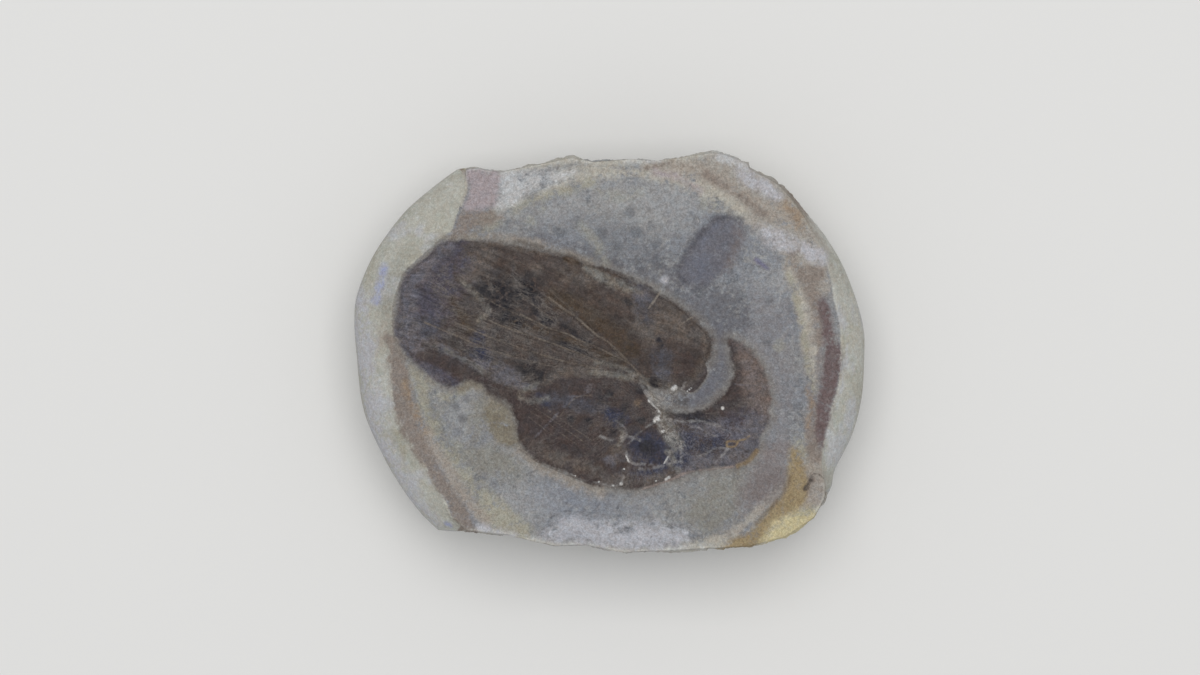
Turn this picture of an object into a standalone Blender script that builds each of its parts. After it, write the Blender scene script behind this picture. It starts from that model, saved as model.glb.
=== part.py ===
"""Fossil insect nodule: one half of a split ironstone concretion with a roach-like insect on it.

The stone is one solid piece that lies with its split face up. Its left and right sides are the
nodule's natural rounded skin, its far and near ends are broken off steeply, and the underside is
worn flat in the middle. The insect's wings stand out on the split face in low relief.

X runs along the stone, Y towards its far broken end and Z up out of the split face. The origin
is on the surface that the stone rests on, under its middle. Outlines and sizes are written in
millimetres, and become metres when the mesh is made.
"""
import math

import bmesh
import bpy
import numpy as np
from mathutils import Vector, geometry, noise

MM = 0.001

# --- Driving dimensions, in millimetres ------------------------------------------------------

LENGTH = 72.0               # along X, between the two rounded sides
WIDTH = 57.2                # along Y, between the two broken ends
FACE_HEIGHT = 17.2          # split face above the resting flat, in the matrix round the insect
EQUATOR_HEIGHT = 11.5       # where the stone is widest
UNDERSIDE_DEPTH = 13.0      # the round underside's own depth, before the flat cuts it short
UNDERSIDE_RADIUS = 35.2     # the round underside's own radius at the widest height
BROKEN_LEAN = 0.16          # how far a broken end leans inwards, per millimetre downwards
FLAT_TURN = math.asin(EQUATOR_HEIGHT / UNDERSIDE_DEPTH)   # where the underside meets the flat
LEAST_FOOT = 0.45           # the highest that a broken end's foot may be, as a turn in radians
FOOT_WANDER = 0.06          # how far the foot wanders up and down, in radians
RIM_WEAR = 0.5              # how far the split face drops towards its rim
RIM_WEAR_START = 0.82       # where that drop starts, as a share of the way out to the rim

# The stone's outline seen from above, anticlockwise from the right: the two skin runs are
# smooth curves through their points, and the two broken runs go straight from point to point.
RIGHT_SKIN = [
    (29.2, -23.5), (31.2, -19.9), (31.8, -16.6), (34.2, -11.7), (35.6, -6.4), (36.0, 0.0),
    (35.9, 3.2), (35.0, 7.0), (33.0, 12.2), (30.3, 16.8), (27.6, 20.8), (24.2, 24.2), (19.9, 26.3),
]
FAR_BREAK = [
    (19.7, 27.0), (16.4, 28.4), (14.6, 28.6), (6.9, 27.5), (3.0, 27.8), (-2.3, 27.4),
    (-5.4, 28.0), (-10.6, 27.0), (-16.1, 25.9),
]
LEFT_SKIN = [
    (-19.1, 26.5), (-21.6, 25.8), (-27.3, 21.4), (-30.2, 18.3), (-33.4, 13.6), (-35.6, 8.3),
    (-36.0, 4.5), (-35.7, 0.0), (-34.7, -8.0), (-31.8, -14.8), (-29.0, -19.5), (-26.4, -22.9),
]
NEAR_BREAK = [
    (-24.2, -25.0), (-19.6, -25.4), (-14.4, -26.0), (-7.9, -27.7), (-3.3, -27.6), (2.1, -28.6),
    (9.0, -28.3), (20.1, -27.5), (25.3, -26.1),
]

# How wide the skin shows round the split face, as (degrees anticlockwise from +X, width). It is
# wide on the two rounded sides, and only the thickness of an edge along the broken ends.
SKIN_BAND = [
    (0, 3.4), (13, 3.0), (20, 2.1), (27, 1.6), (36, 1.2), (45, 0.8), (53, 0.6), (128, 0.6),
    (131, 2.9), (137, 4.9), (142, 6.5), (147, 6.2), (152, 5.8), (159, 4.8), (167, 5.2),
    (176, 5.4), (182, 4.9), (195, 4.3), (211, 4.6), (221, 3.9), (227, 2.5), (231, 0.6), (320, 0.6),
    (326, 0.8), (331, 2.1), (336, 3.1), (345, 4.0), (353, 3.4),
]

# Flakes broken off the rim of the split face: the line that each one starts from, in order
# anticlockwise, and how steeply its surface falls away outwards, in degrees.
CHIPS = {
    "upper_right": ([(32.0, 8.6), (28.6, 12.6), (22.6, 19.0), (18.0, 23.4), (11.3, 26.2)], 15.0),
    "far_left": ([(5.0, 26.3), (-1.0, 24.9), (-5.0, 24.1), (-9.2, 22.8), (-12.8, 20.7),
                  (-16.0, 19.9), (-20.0, 19.6)], 24.0),
    "near_left": ([(-11.2, -25.8), (-8.4, -23.9), (-4.8, -22.6), (-1.6, -23.4), (0.2, -25.2)], 26.0),
    "near_middle": ([(0.2, -25.2), (3.4, -24.0), (7.0, -23.3), (11.2, -24.7), (15.0, -27.0)], 22.0),
    "near_right": ([(18.0, -27.0), (21.8, -26.0), (24.0, -23.9), (26.0, -22.2), (28.4, -21.9),
                    (31.0, -21.3)], 27.0),
}

# Outlines of the insect's parts on the split face, smooth closed curves through these points.
FOREWING = [
    (-29.7, 2.1), (-29.7, 7.0), (-28.6, 11.0), (-25.6, 13.5), (-23.6, 15.5), (-20.9, 15.8),
    (-16.0, 15.6), (-9.7, 14.4), (-4.6, 13.1), (1.5, 11.0), (7.0, 8.4), (11.2, 5.5), (13.9, 2.8),
    (14.5, 0.4), (13.3, -2.0), (11.2, -4.3), (8.2, -5.3), (5.8, -4.8), (2.2, -3.4), (-2.7, -2.6),
    (-7.5, -3.1), (-12.8, -5.1), (-16.2, -3.9), (-20.2, -1.6), (-24.4, 0.4),
]
HINDWING = [
    (-17.4, -5.4), (-14.3, -6.9), (-13.2, -9.4), (-12.6, -12.4), (-10.4, -14.9), (-6.9, -16.5),
    (-2.7, -18.3), (1.0, -18.9), (5.0, -19.0), (9.8, -17.3), (15.4, -16.1), (18.4, -15.9),
    (20.5, -14.1), (21.5, -11.0), (22.6, -9.1), (22.4, -7.8), (22.8, -6.0), (21.4, -2.0),
    (18.9, 1.2), (17.0, 2.2), (16.4, 1.5), (17.0, -0.8), (17.2, -3.4), (15.6, -6.0),
    (12.8, -8.0), (9.3, -8.2), (6.4, -6.4), (3.0, -1.6), (-6.0, -0.6), (-13.0, -2.4), (-17.6, -2.4),
]
FLAP = [
    (-29.2, 1.8), (-25.8, 1.6), (-21.8, 0.2), (-18.4, -2.0), (-17.0, -4.6), (-19.6, -3.9),
    (-22.3, -4.9), (-24.6, -3.7), (-27.0, -1.7), (-28.8, 0.2),
]

# The main veins, from the wing's root outwards.
FOREWING_VEINS = [
    [(4.6, -2.9), (1.6, 0.0), (-1.5, 2.3), (-5.5, 5.6), (-9.7, 8.5), (-15.3, 11.9), (-20.6, 14.4)],
    [(1.6, -0.9), (-2.7, 1.3), (-8.6, 3.6), (-13.2, 5.7), (-20.2, 8.5), (-25.4, 10.9)],
    [(-1.3, -0.8), (-7.0, 1.0), (-12.5, 3.2), (-20.2, 5.7), (-27.6, 8.9)],
    [(-3.4, -1.5), (-9.7, 0.0), (-15.3, 1.8), (-21.6, 3.7), (-28.4, 6.1)],
    [(-9.7, -1.7), (-15.0, -0.4), (-20.2, 1.2), (-25.0, 2.6), (-28.9, 3.6)],
]
HINDWING_VEINS = [
    [(5.5, -7.4), (1.0, -8.0), (-4.0, -7.2), (-9.4, -6.6)],
    [(5.0, -8.6), (0.0, -10.8), (-5.0, -12.0), (-10.0, -12.6)],
    [(5.6, -9.8), (2.6, -13.0), (-0.6, -15.6)],
    [(7.6, -9.6), (11.4, -12.6), (16.4, -13.6)],
    [(9.4, -9.6), (14.4, -9.4), (20.6, -8.6)],
]

FILM_LEDGE = 0.22           # the insect's edge above the matrix
FOREWING_LEDGE = 0.26       # the forewing's edge above the parts that it lies on
FOREWING_DOME = 0.65
FOREWING_DOME_REACH = 7.0   # how far in from the edge the dome keeps rising
HINDWING_DOME = 0.30
HINDWING_DOME_REACH = 5.0
LEDGE_RUN = 0.45            # width of the sloping edge
VEIN_HEIGHT = 0.16
VEIN_HALF_WIDTH = 0.32

# Natural unevenness, as (height, size of one lump).
FACE_SWELL = (0.45, 17.0)
FACE_GRIT = (0.16, 3.2)
SKIN_LUMPS = (0.40, 9.0)
BREAK_LUMPS = (1.30, 7.0)

# --- Mesh density ----------------------------------------------------------------------------

AROUND = 120                # points round the rim, and round each row of the sides
SKIN_ROWS = 4               # rows from the split face's rim down to the widest row
WALL_ROWS = 5               # rows from there down to the foot of the broken ends
UNDER_ROWS = 5              # rows from there to the resting flat
FACE_SPACING = 1.38         # between points on the split face
GRID_NUDGE = 0.5            # how far a loose point is moved off its even grid, at most
EDGE_SPACING = 1.2          # along the insect's edges
VEIN_SPACING = 1.2
CLEARANCE = 0.62            # least distance from a loose point to an edge, a vein or the rim
RIM_CLEARANCE = 0.4         # least distance from an edge or a vein to the rim
WELD = 0.02


# --- Curves and distances --------------------------------------------------------------------

def smooth_curve(points, closed, per_span=12):
    """Points along a Catmull-Rom curve that passes through the given points."""
    points = np.array(points, dtype=float)
    if closed:
        padded = np.vstack([points[-1:], points, points[:2]])
    else:
        padded = np.vstack([2 * points[0] - points[1], points, 2 * points[-1] - points[-2]])
    share = np.linspace(0.0, 1.0, per_span, endpoint=False)[:, None]
    spans = []
    for before, start, end, after in zip(padded, padded[1:], padded[2:], padded[3:]):
        bend = 2 * before - 5 * start + 4 * end - after
        twist = 3 * start - before - 3 * end + after
        spans.append(start + 0.5 * share * (end - before + share * (bend + share * twist)))
    curve = np.vstack(spans)
    return curve if closed else np.vstack([curve, points[-1:]])


def evenly_spaced(curve, spacing):
    """The curve again, as straight steps of about the given length."""
    steps = np.hypot(*np.diff(curve, axis=0).T)
    along = np.concatenate([[0.0], np.cumsum(steps)])
    count = max(2, round(along[-1] / spacing) + 1)
    places = np.linspace(0.0, along[-1], count)
    return np.column_stack([np.interp(places, along, curve[:, axis]) for axis in (0, 1)])


def distance_to(points, line):
    """Distance from each point to the nearest place on a line of straight steps."""
    start, step = line[:-1], np.diff(line, axis=0)
    offset = points[:, None, :] - start[None]
    length_squared = np.maximum((step ** 2).sum(axis=1), 1e-12)
    share = np.clip((offset * step[None]).sum(axis=2) / length_squared, 0.0, 1.0)
    return np.sqrt(((offset - share[..., None] * step[None]) ** 2).sum(axis=2).min(axis=1))


def is_inside(points, loop):
    """Whether each point is inside a closed loop, by counting the edges to its right."""
    x, y = points[:, :1], points[:, 1:]
    ax, ay = loop[:, 0], loop[:, 1]
    bx, by = np.roll(ax, -1), np.roll(ay, -1)
    spans = (ay > y) != (by > y)
    rise = np.where(by == ay, 1e-12, by - ay)
    crossing = ax + (y - ay) * (bx - ax) / rise
    return (spans & (x < crossing)).sum(axis=1) % 2 == 1


def depth_inside(points, loop):
    """Distance in from a loop's edge, negative outside the loop."""
    closed = np.vstack([loop, loop[:1]])
    distance = distance_to(points, closed)
    return np.where(is_inside(points, loop), distance, -distance)


def ramp(value):
    """A smooth step from 0 to 1 as the value goes from 0 to 1."""
    value = np.clip(value, 0.0, 1.0)
    return value * value * (3.0 - 2.0 * value)


def lumps(points, size, octaves=3, seed=0.0):
    """Smooth noise of about -1 to 1 at each 3-D point, with lumps of about the given size."""
    shift = Vector((seed, 3.1 * seed, 5.7 * seed))
    values = [noise.fractal(Vector(point) / size + shift, 1.0, 2.0, octaves) for point in points]
    return np.clip(np.array(values) * 1.6, -1.0, 1.0)


# --- The stone's outline ---------------------------------------------------------------------

def stone_outline():
    """The outline from above, scaled so that it is exactly LENGTH by WIDTH and centred."""
    runs = [
        smooth_curve(RIGHT_SKIN, closed=False), FAR_BREAK,
        smooth_curve(LEFT_SKIN, closed=False), NEAR_BREAK,
    ]
    loop = np.vstack(runs)
    low, high = loop.min(axis=0), loop.max(axis=0)
    return (loop - (low + high) / 2) * (LENGTH, WIDTH) / (high - low)


def radius_by_angle(loop, angles):
    """How far a loop is from the middle, at each angle."""
    closed = evenly_spaced(np.vstack([loop, loop[:1]]), 0.1)
    loop_angles = np.arctan2(closed[:, 1], closed[:, 0])
    order = np.argsort(loop_angles)
    radii = np.hypot(closed[:, 0], closed[:, 1])
    return np.interp(angles, loop_angles[order], radii[order], period=2 * math.pi)


def band_by_angle(angles):
    """How wide the skin shows between the outline and the split face's rim, at each angle."""
    band_angles, widths = np.array(SKIN_BAND, dtype=float).T
    return np.interp(np.degrees(angles) % 360.0, band_angles, widths, period=360.0)


# --- Height of the split face ----------------------------------------------------------------

def insect_relief(points):
    """Height of the wings above the matrix at each point."""
    fore = depth_inside(points, smooth_curve(FOREWING, closed=True))
    hind = depth_inside(points, smooth_curve(HINDWING, closed=True))
    flap = depth_inside(points, smooth_curve(FLAP, closed=True))
    film = ramp(np.maximum.reduce([fore, hind, flap]) / LEDGE_RUN)
    on_fore = ramp(fore / LEDGE_RUN)
    fore_dome = FOREWING_DOME * (1 - (1 - np.clip(fore / FOREWING_DOME_REACH, 0, 1)) ** 2)
    hind_dome = HINDWING_DOME * (1 - (1 - np.clip(hind / HINDWING_DOME_REACH, 0, 1)) ** 2)
    relief = FILM_LEDGE * film + FOREWING_LEDGE * on_fore + fore_dome + hind_dome * (1 - on_fore)
    for veins, depth in ((FOREWING_VEINS, fore), (HINDWING_VEINS, hind)):
        for vein in veins:
            distance = distance_to(points, smooth_curve(vein, closed=False))
            ridge = VEIN_HEIGHT * np.exp(-(distance / VEIN_HALF_WIDTH) ** 2)
            relief += ridge * ramp(depth / LEDGE_RUN)
    return relief


def chip_drop(points):
    """How far the flakes broken off the rim lower the split face at each point."""
    drop = np.zeros(len(points))
    for start_line, slope in CHIPS.values():
        start_line = smooth_curve(start_line, closed=False, per_span=4)
        flake = np.vstack([start_line, 1.6 * start_line[::-1]])
        fall = math.tan(math.radians(slope)) * distance_to(points, start_line)
        drop = np.maximum(drop, np.where(is_inside(points, flake), fall, 0.0))
    return drop


def face_height(points, outline):
    """Height of the split face at each point."""
    angles = np.arctan2(points[:, 1], points[:, 0])
    rim = radius_by_angle(outline, angles) - band_by_angle(angles)
    share_out = np.hypot(points[:, 0], points[:, 1]) / rim
    flat_points = np.column_stack([points, np.zeros(len(points))])
    wear = RIM_WEAR * ramp((share_out - RIM_WEAR_START) / (1 - RIM_WEAR_START))
    swell = FACE_SWELL[0] * lumps(flat_points, FACE_SWELL[1], octaves=2, seed=4.0)
    grit = FACE_GRIT[0] * lumps(flat_points, FACE_GRIT[1], octaves=2, seed=9.0)
    relief = insect_relief(points)
    grit *= 1.0 - 0.7 * ramp(relief / FILM_LEDGE)
    return FACE_HEIGHT + swell + grit - wear + relief - chip_drop(points)


# --- Building the mesh -----------------------------------------------------------------------

def rim_angles():
    return np.linspace(-math.pi, math.pi, AROUND, endpoint=False)


def side_rows(outline, rim_heights):
    """Rows of points from the split face's rim, down over the widest row, to the flat.

    On the rounded sides they follow the natural skin all the way. On the broken ends they go
    down a rough wall first, and meet the round underside at that wall's foot.
    """
    angles = rim_angles()
    directions = np.column_stack([np.cos(angles), np.sin(angles)])
    radius = radius_by_angle(outline, angles)
    band = band_by_angle(angles)
    natural = np.maximum(radius, UNDERSIDE_RADIUS)
    is_broken = 1 - ramp((band - 0.6) / 1.2)

    # From the rim out to the widest row.
    rim_share = 1 - band / radius
    dome = (rim_heights - EQUATOR_HEIGHT) / np.sqrt(1 - rim_share ** 2)
    radii, heights = [], []
    for step in range(SKIN_ROWS + 1):
        share = rim_share + (1 - rim_share) * math.sin(step / SKIN_ROWS * math.pi / 2)
        radii.append(radius * share)
        heights.append(EQUATOR_HEIGHT + dome * np.sqrt(1 - share ** 2))

    # From the widest row in to the foot of the broken ends.
    lean = BROKEN_LEAN * UNDERSIDE_DEPTH
    foot = np.arctan2(lean, natural) + np.arccos(radius / np.hypot(natural, lean))
    foot += FOOT_WANDER * is_broken * lumps(np.column_stack([directions * radius[:, None], angles]), 6.0)
    foot = np.clip(foot, LEAST_FOOT, FLAT_TURN - LEAST_FOOT / 3)

    def skin_radius(turn):
        evened = ramp((turn - 0.15) / LEAST_FOOT)
        return (natural + (UNDERSIDE_RADIUS - natural) * evened) * np.cos(turn)

    for step in range(1, WALL_ROWS + 1):
        turn = foot * step / WALL_ROWS
        wall = radius + (skin_radius(foot) - radius) * np.sin(turn) / np.sin(foot)
        radii.append(np.minimum(radius, wall * is_broken + skin_radius(turn) * (1 - is_broken)))
        heights.append(EQUATOR_HEIGHT - UNDERSIDE_DEPTH * np.sin(turn))

    # From the foot in to the resting flat.
    for step in range(1, UNDER_ROWS + 1):
        turn = foot + (FLAT_TURN - foot) * step / UNDER_ROWS
        radii.append(skin_radius(turn))
        heights.append(EQUATOR_HEIGHT - UNDERSIDE_DEPTH * np.sin(turn))
    heights[-1] = np.zeros(AROUND)

    # The skin's lumps leave the widest row in place. A broken wall is rough all over, and in
    # each direction its furthest point still reaches the outline.
    rows = [np.column_stack([directions * r[:, None], h]) for r, h in zip(radii, heights)]
    skin = np.array([0.5 + 0.5 * lumps(row, SKIN_LUMPS[1], seed=2.0) for row in rows])
    broken = np.array([0.5 + 0.5 * lumps(row, BREAK_LUMPS[1], seed=6.0) for row in rows])
    foot_row = SKIN_ROWS + WALL_ROWS
    broken -= broken[1:foot_row].min(axis=0)
    for index, row in enumerate(rows):
        skin_share = min(1.0, abs(index - SKIN_ROWS) / 2) if index else 0.0
        wall_share = 1.0 if 0 < index < foot_row else 0.0
        pushed_in = SKIN_LUMPS[0] * skin[index] * skin_share * (1 - is_broken * wall_share)
        pushed_in += BREAK_LUMPS[0] * broken[index] * is_broken * wall_share
        row[:, :2] -= directions * pushed_in[:, None]
    return rows


def edge_lines(rim):
    """Lines that the split face's triangles must follow, as lists of points."""
    fore, hind, flap = (smooth_curve(loop, closed=True) for loop in (FOREWING, HINDWING, FLAP))
    lines = []

    def add_line(line, covered_by=()):
        """Keeps the steps of a line that are clear of the rim and of what lies on top of it."""
        clear = depth_inside(line, rim) > RIM_CLEARANCE
        for cover in covered_by:
            clear &= depth_inside(line, cover) < -RIM_CLEARANCE
        run = []
        for point, is_clear in zip(line, clear):
            if is_clear:
                run.append(point)
            elif len(run) > 1:
                lines.append(np.array(run))
            if not is_clear:
                run = []
        if len(run) > 1:
            lines.append(np.array(run))

    for loop, covered_by in ((fore, ()), (hind, (fore,)), (flap, (fore, hind))):
        add_line(evenly_spaced(np.vstack([loop, loop[:1]]), EDGE_SPACING), covered_by)
    for vein in FOREWING_VEINS + HINDWING_VEINS:
        add_line(evenly_spaced(smooth_curve(vein, closed=False), VEIN_SPACING))
    for start_line, _slope in CHIPS.values():
        add_line(evenly_spaced(smooth_curve(start_line, closed=False), 2 * EDGE_SPACING))
    return lines


def flank_points(lines):
    """Points on both sides of each line, at the foot of the ridge or ledge that it marks."""
    flanks = []
    for line in lines:
        along = np.gradient(line, axis=0)
        across = np.column_stack([-along[:, 1], along[:, 0]]) / np.hypot(*along.T)[:, None]
        flanks += [line + across * LEDGE_RUN, line - across * LEDGE_RUN]
    return np.vstack(flanks)


def loose_points(rim, lines):
    """A triangular grid of points over the split face, clear of the lines and the rim."""
    row_height = FACE_SPACING * math.sqrt(3) / 2
    grid = []
    for row in range(-math.ceil(WIDTH / 2 / row_height), math.ceil(WIDTH / 2 / row_height) + 1):
        offset = FACE_SPACING / 2 if row % 2 else 0.0
        for column in range(-math.ceil(LENGTH / 2 / FACE_SPACING), math.ceil(LENGTH / 2 / FACE_SPACING)):
            place = Vector((column * FACE_SPACING + offset, row * row_height, 0.0))
            grid.append([
                place[axis] + GRID_NUDGE * noise.noise(place * 0.9 + Vector((7.0 * axis, 0.0, 3.0)))
                for axis in (0, 1)
            ])
    grid = np.array(grid)
    grid = grid[depth_inside(grid, rim) > CLEARANCE]
    for line in lines:
        grid = grid[distance_to(grid, line) > CLEARANCE]
    return grid


def face_triangles(rim, lines):
    """Points and triangles that fill the rim and follow the lines."""
    flanks = flank_points(lines)
    flanks = flanks[depth_inside(flanks, rim) > CLEARANCE]
    for line in lines:
        flanks = flanks[distance_to(flanks, line) > 0.8 * LEDGE_RUN]
    points = [Vector(point) for point in rim]
    edges = [(index, (index + 1) % len(rim)) for index in range(len(rim))]
    for line in lines:
        first = len(points)
        points += [Vector(point) for point in line]
        edges += [(first + index, first + index + 1) for index in range(len(line) - 1)]
    grid = loose_points(rim, lines)
    distances = np.sqrt(((grid[:, None] - flanks[None]) ** 2).sum(axis=2)).min(axis=1)
    grid = grid[distances > 0.7 * CLEARANCE]
    points += [Vector(point) for point in np.vstack([flanks, grid])]
    inside_only = 1
    result = geometry.delaunay_2d_cdt(points, edges, [], inside_only, WELD)
    return np.array([tuple(point) for point in result[0]]), [tuple(face) for face in result[2]]


def build_stone():
    """The whole stone as one closed mesh, in metres."""
    outline = stone_outline()
    angles = rim_angles()
    rim_radius = radius_by_angle(outline, angles) - band_by_angle(angles)
    rim = np.column_stack([np.cos(angles), np.sin(angles)]) * rim_radius[:, None]
    face_points, triangles = face_triangles(rim, edge_lines(rim))
    heights = face_height(face_points, outline)
    rows = side_rows(outline, face_height(rim, outline))

    stone = bmesh.new()
    top = [stone.verts.new((x * MM, y * MM, z * MM)) for (x, y), z in zip(face_points, heights)]
    for triangle in triangles:
        stone.faces.new([top[index] for index in triangle])
    rings = [[stone.verts.new(Vector(point) * MM) for point in row] for row in rows]
    for upper, lower in zip(rings, rings[1:]):
        for index in range(AROUND):
            after = (index + 1) % AROUND
            stone.faces.new([upper[index], lower[index], lower[after], upper[after]])
    middle = stone.verts.new((0.0, 0.0, 0.0))
    for index in range(AROUND):
        stone.faces.new([rings[-1][(index + 1) % AROUND], rings[-1][index], middle])
    bmesh.ops.remove_doubles(stone, verts=stone.verts, dist=WELD * MM)
    bmesh.ops.triangulate(stone, faces=stone.faces)
    bmesh.ops.recalc_face_normals(stone, faces=stone.faces)
    return stone


# --- Materials -------------------------------------------------------------------------------

def stone_material(name, colour, roughness):
    material = bpy.data.materials.new(name)
    material.use_nodes = True
    shader = material.node_tree.nodes["Principled BSDF"]
    shader.inputs["Base Color"].default_value = (*colour, 1.0)
    shader.inputs["Roughness"].default_value = roughness
    shader.inputs["Metallic"].default_value = 0.0
    material.diffuse_color = (*colour, 1.0)
    return material


def assign_materials(mesh):
    """Skin on the sides and underside, grey matrix on the split face, brown film on the wings."""
    mesh.materials.append(stone_material("Nodule skin", (0.42, 0.39, 0.31), 0.85))
    mesh.materials.append(stone_material("Nodule matrix", (0.24, 0.23, 0.22), 0.8))
    mesh.materials.append(stone_material("Insect film", (0.07, 0.045, 0.04), 0.6))
    middles = np.array([tuple(face.center) for face in mesh.polygons]) / MM
    flat = middles[:, :2]
    angles = np.arctan2(flat[:, 1], flat[:, 0])
    rim = radius_by_angle(stone_outline(), angles) - band_by_angle(angles)
    on_face = (np.hypot(*flat.T) < rim) & (middles[:, 2] > EQUATOR_HEIGHT)
    wings = [smooth_curve(outline, closed=True) for outline in (FOREWING, HINDWING, FLAP)]
    on_film = on_face & np.any([is_inside(flat, wing) for wing in wings], axis=0)
    for face, matrix, film in zip(mesh.polygons, on_face, on_film):
        face.material_index = 2 if film else 1 if matrix else 0


def add_nodule():
    mesh = bpy.data.meshes.new("nodule")
    stone = build_stone()
    stone.to_mesh(mesh)
    stone.free()
    assign_materials(mesh)
    mesh.shade_smooth()
    mesh.set_sharp_from_angle(angle=math.radians(35))
    nodule = bpy.data.objects.new("nodule", mesh)
    bpy.context.collection.objects.link(nodule)
    return nodule


for old in list(bpy.data.objects):
    bpy.data.objects.remove(old, do_unlink=True)
add_nodule()
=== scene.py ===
"""Looks of the fossil insect nodule: one half of a split ironstone concretion.

The stone is one fine mesh that stands for the CAD solid. Its shape repeats the solid's outlines
and heights, with finer veins, grit and breakage added. All its colours are one material. Each
marking is an area, a line or some round spots on the split face. The mesh stores how far inside
it every point is, and the material paints it there and roughens its edge with noise.

X runs along the stone, Y towards its far broken end and Z up out of the split face. Outlines
and sizes are written in millimetres, and become metres when the mesh is made. Only the points
of the markings are written in the photo's pixels.
"""
import math

import bpy
import numpy as np
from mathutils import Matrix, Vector, noise


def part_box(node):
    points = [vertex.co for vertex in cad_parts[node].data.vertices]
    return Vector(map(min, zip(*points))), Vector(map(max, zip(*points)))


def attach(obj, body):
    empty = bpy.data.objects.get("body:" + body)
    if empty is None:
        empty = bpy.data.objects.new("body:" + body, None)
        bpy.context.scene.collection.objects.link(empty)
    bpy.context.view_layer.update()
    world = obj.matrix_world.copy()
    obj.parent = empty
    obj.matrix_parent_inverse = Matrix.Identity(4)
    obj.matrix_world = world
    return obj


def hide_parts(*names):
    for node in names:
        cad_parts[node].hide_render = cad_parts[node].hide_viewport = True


MM = 0.001

# --- The solid's own dimensions, in millimetres ----------------------------------------------

LENGTH = 72.0
WIDTH = 57.2
FACE_HEIGHT = 17.2
EQUATOR_HEIGHT = 11.5
UNDERSIDE_DEPTH = 13.0
UNDERSIDE_RADIUS = 35.2
BROKEN_LEAN = 0.16
FLAT_TURN = math.asin(EQUATOR_HEIGHT / UNDERSIDE_DEPTH)
LEAST_FOOT = 0.45
FOOT_WANDER = 0.06
RIM_WEAR = 0.5
RIM_WEAR_START = 0.82

RIGHT_SKIN = [
    (29.2, -23.5), (31.2, -19.9), (31.8, -16.6), (34.2, -11.7), (35.6, -6.4), (36.0, 0.0),
    (35.9, 3.2), (35.0, 7.0), (33.0, 12.2), (30.3, 16.8), (27.6, 20.8), (24.2, 24.2), (19.9, 26.3),
]
FAR_BREAK = [
    (19.7, 27.0), (16.4, 28.4), (14.6, 28.6), (6.9, 27.5), (3.0, 27.8), (-2.3, 27.4),
    (-5.4, 28.0), (-10.6, 27.0), (-16.1, 25.9),
]
LEFT_SKIN = [
    (-19.1, 26.5), (-21.6, 25.8), (-27.3, 21.4), (-30.2, 18.3), (-33.4, 13.6), (-35.6, 8.3),
    (-36.0, 4.5), (-35.7, 0.0), (-34.7, -8.0), (-31.8, -14.8), (-29.0, -19.5), (-26.4, -22.9),
]
NEAR_BREAK = [
    (-24.2, -25.0), (-19.6, -25.4), (-14.4, -26.0), (-7.9, -27.7), (-3.3, -27.6), (2.1, -28.6),
    (9.0, -28.3), (20.1, -27.5), (25.3, -26.1),
]

# How wide the skin shows round the split face, as (degrees anticlockwise from +X, width).
SKIN_BAND = [
    (0, 3.4), (13, 3.0), (20, 2.1), (27, 1.6), (36, 1.2), (45, 0.8), (53, 0.6), (128, 0.6),
    (131, 2.9), (137, 4.9), (142, 6.5), (147, 6.2), (152, 5.8), (159, 4.8), (167, 5.2),
    (176, 5.4), (182, 4.9), (195, 4.3), (211, 4.6), (221, 3.9), (227, 2.5), (231, 0.6), (320, 0.6),
    (326, 0.8), (331, 2.1), (336, 3.1), (345, 4.0), (353, 3.4),
]

# Flakes broken off the rim: the line that each one starts from, and its slope in degrees.
CHIPS = [
    ([(32.0, 8.6), (28.6, 12.6), (22.6, 19.0), (18.0, 23.4), (11.3, 26.2)], 15.0),
    ([(5.0, 26.3), (-1.0, 24.9), (-5.0, 24.1), (-9.2, 22.8), (-12.8, 20.7), (-16.0, 19.9),
      (-20.0, 19.6)], 24.0),
    ([(-11.2, -25.8), (-8.4, -23.9), (-4.8, -22.6), (-1.6, -23.4), (0.2, -25.2)], 26.0),
    ([(0.2, -25.2), (3.4, -24.0), (7.0, -23.3), (11.2, -24.7), (15.0, -27.0)], 22.0),
    ([(18.0, -27.0), (21.8, -26.0), (24.0, -23.9), (26.0, -22.2), (28.4, -21.9),
      (31.0, -21.3)], 27.0),
]

FOREWING = [
    (-29.7, 2.1), (-29.7, 7.0), (-28.6, 11.0), (-25.6, 13.5), (-23.6, 15.5), (-20.9, 15.8),
    (-16.0, 15.6), (-9.7, 14.4), (-4.6, 13.1), (1.5, 11.0), (7.0, 8.4), (11.2, 5.5), (13.9, 2.8),
    (14.5, 0.4), (13.3, -2.0), (11.2, -4.3), (8.2, -5.3), (5.8, -4.8), (2.2, -3.4), (-2.7, -2.6),
    (-7.5, -3.1), (-12.8, -5.1), (-16.2, -3.9), (-20.2, -1.6), (-24.4, 0.4),
]
FOREWING_BACK_FROM = 14     # the first point of the forewing's back edge, in the list above
HINDWING = [
    (-17.4, -5.4), (-14.3, -6.9), (-13.2, -9.4), (-12.6, -12.4), (-10.4, -14.9), (-6.9, -16.5),
    (-2.7, -18.3), (1.0, -18.9), (5.0, -19.0), (9.8, -17.3), (15.4, -16.1), (18.4, -15.9),
    (20.5, -14.1), (21.5, -11.0), (22.6, -9.1), (22.4, -7.8), (22.8, -6.0), (21.4, -2.0),
    (18.9, 1.2), (17.0, 2.2), (16.4, 1.5), (17.0, -0.8), (17.2, -3.4), (15.6, -6.0),
    (12.8, -8.0), (9.3, -8.2), (6.4, -6.4), (3.0, -1.6), (-6.0, -0.6), (-13.0, -2.4), (-17.6, -2.4),
]
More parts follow.
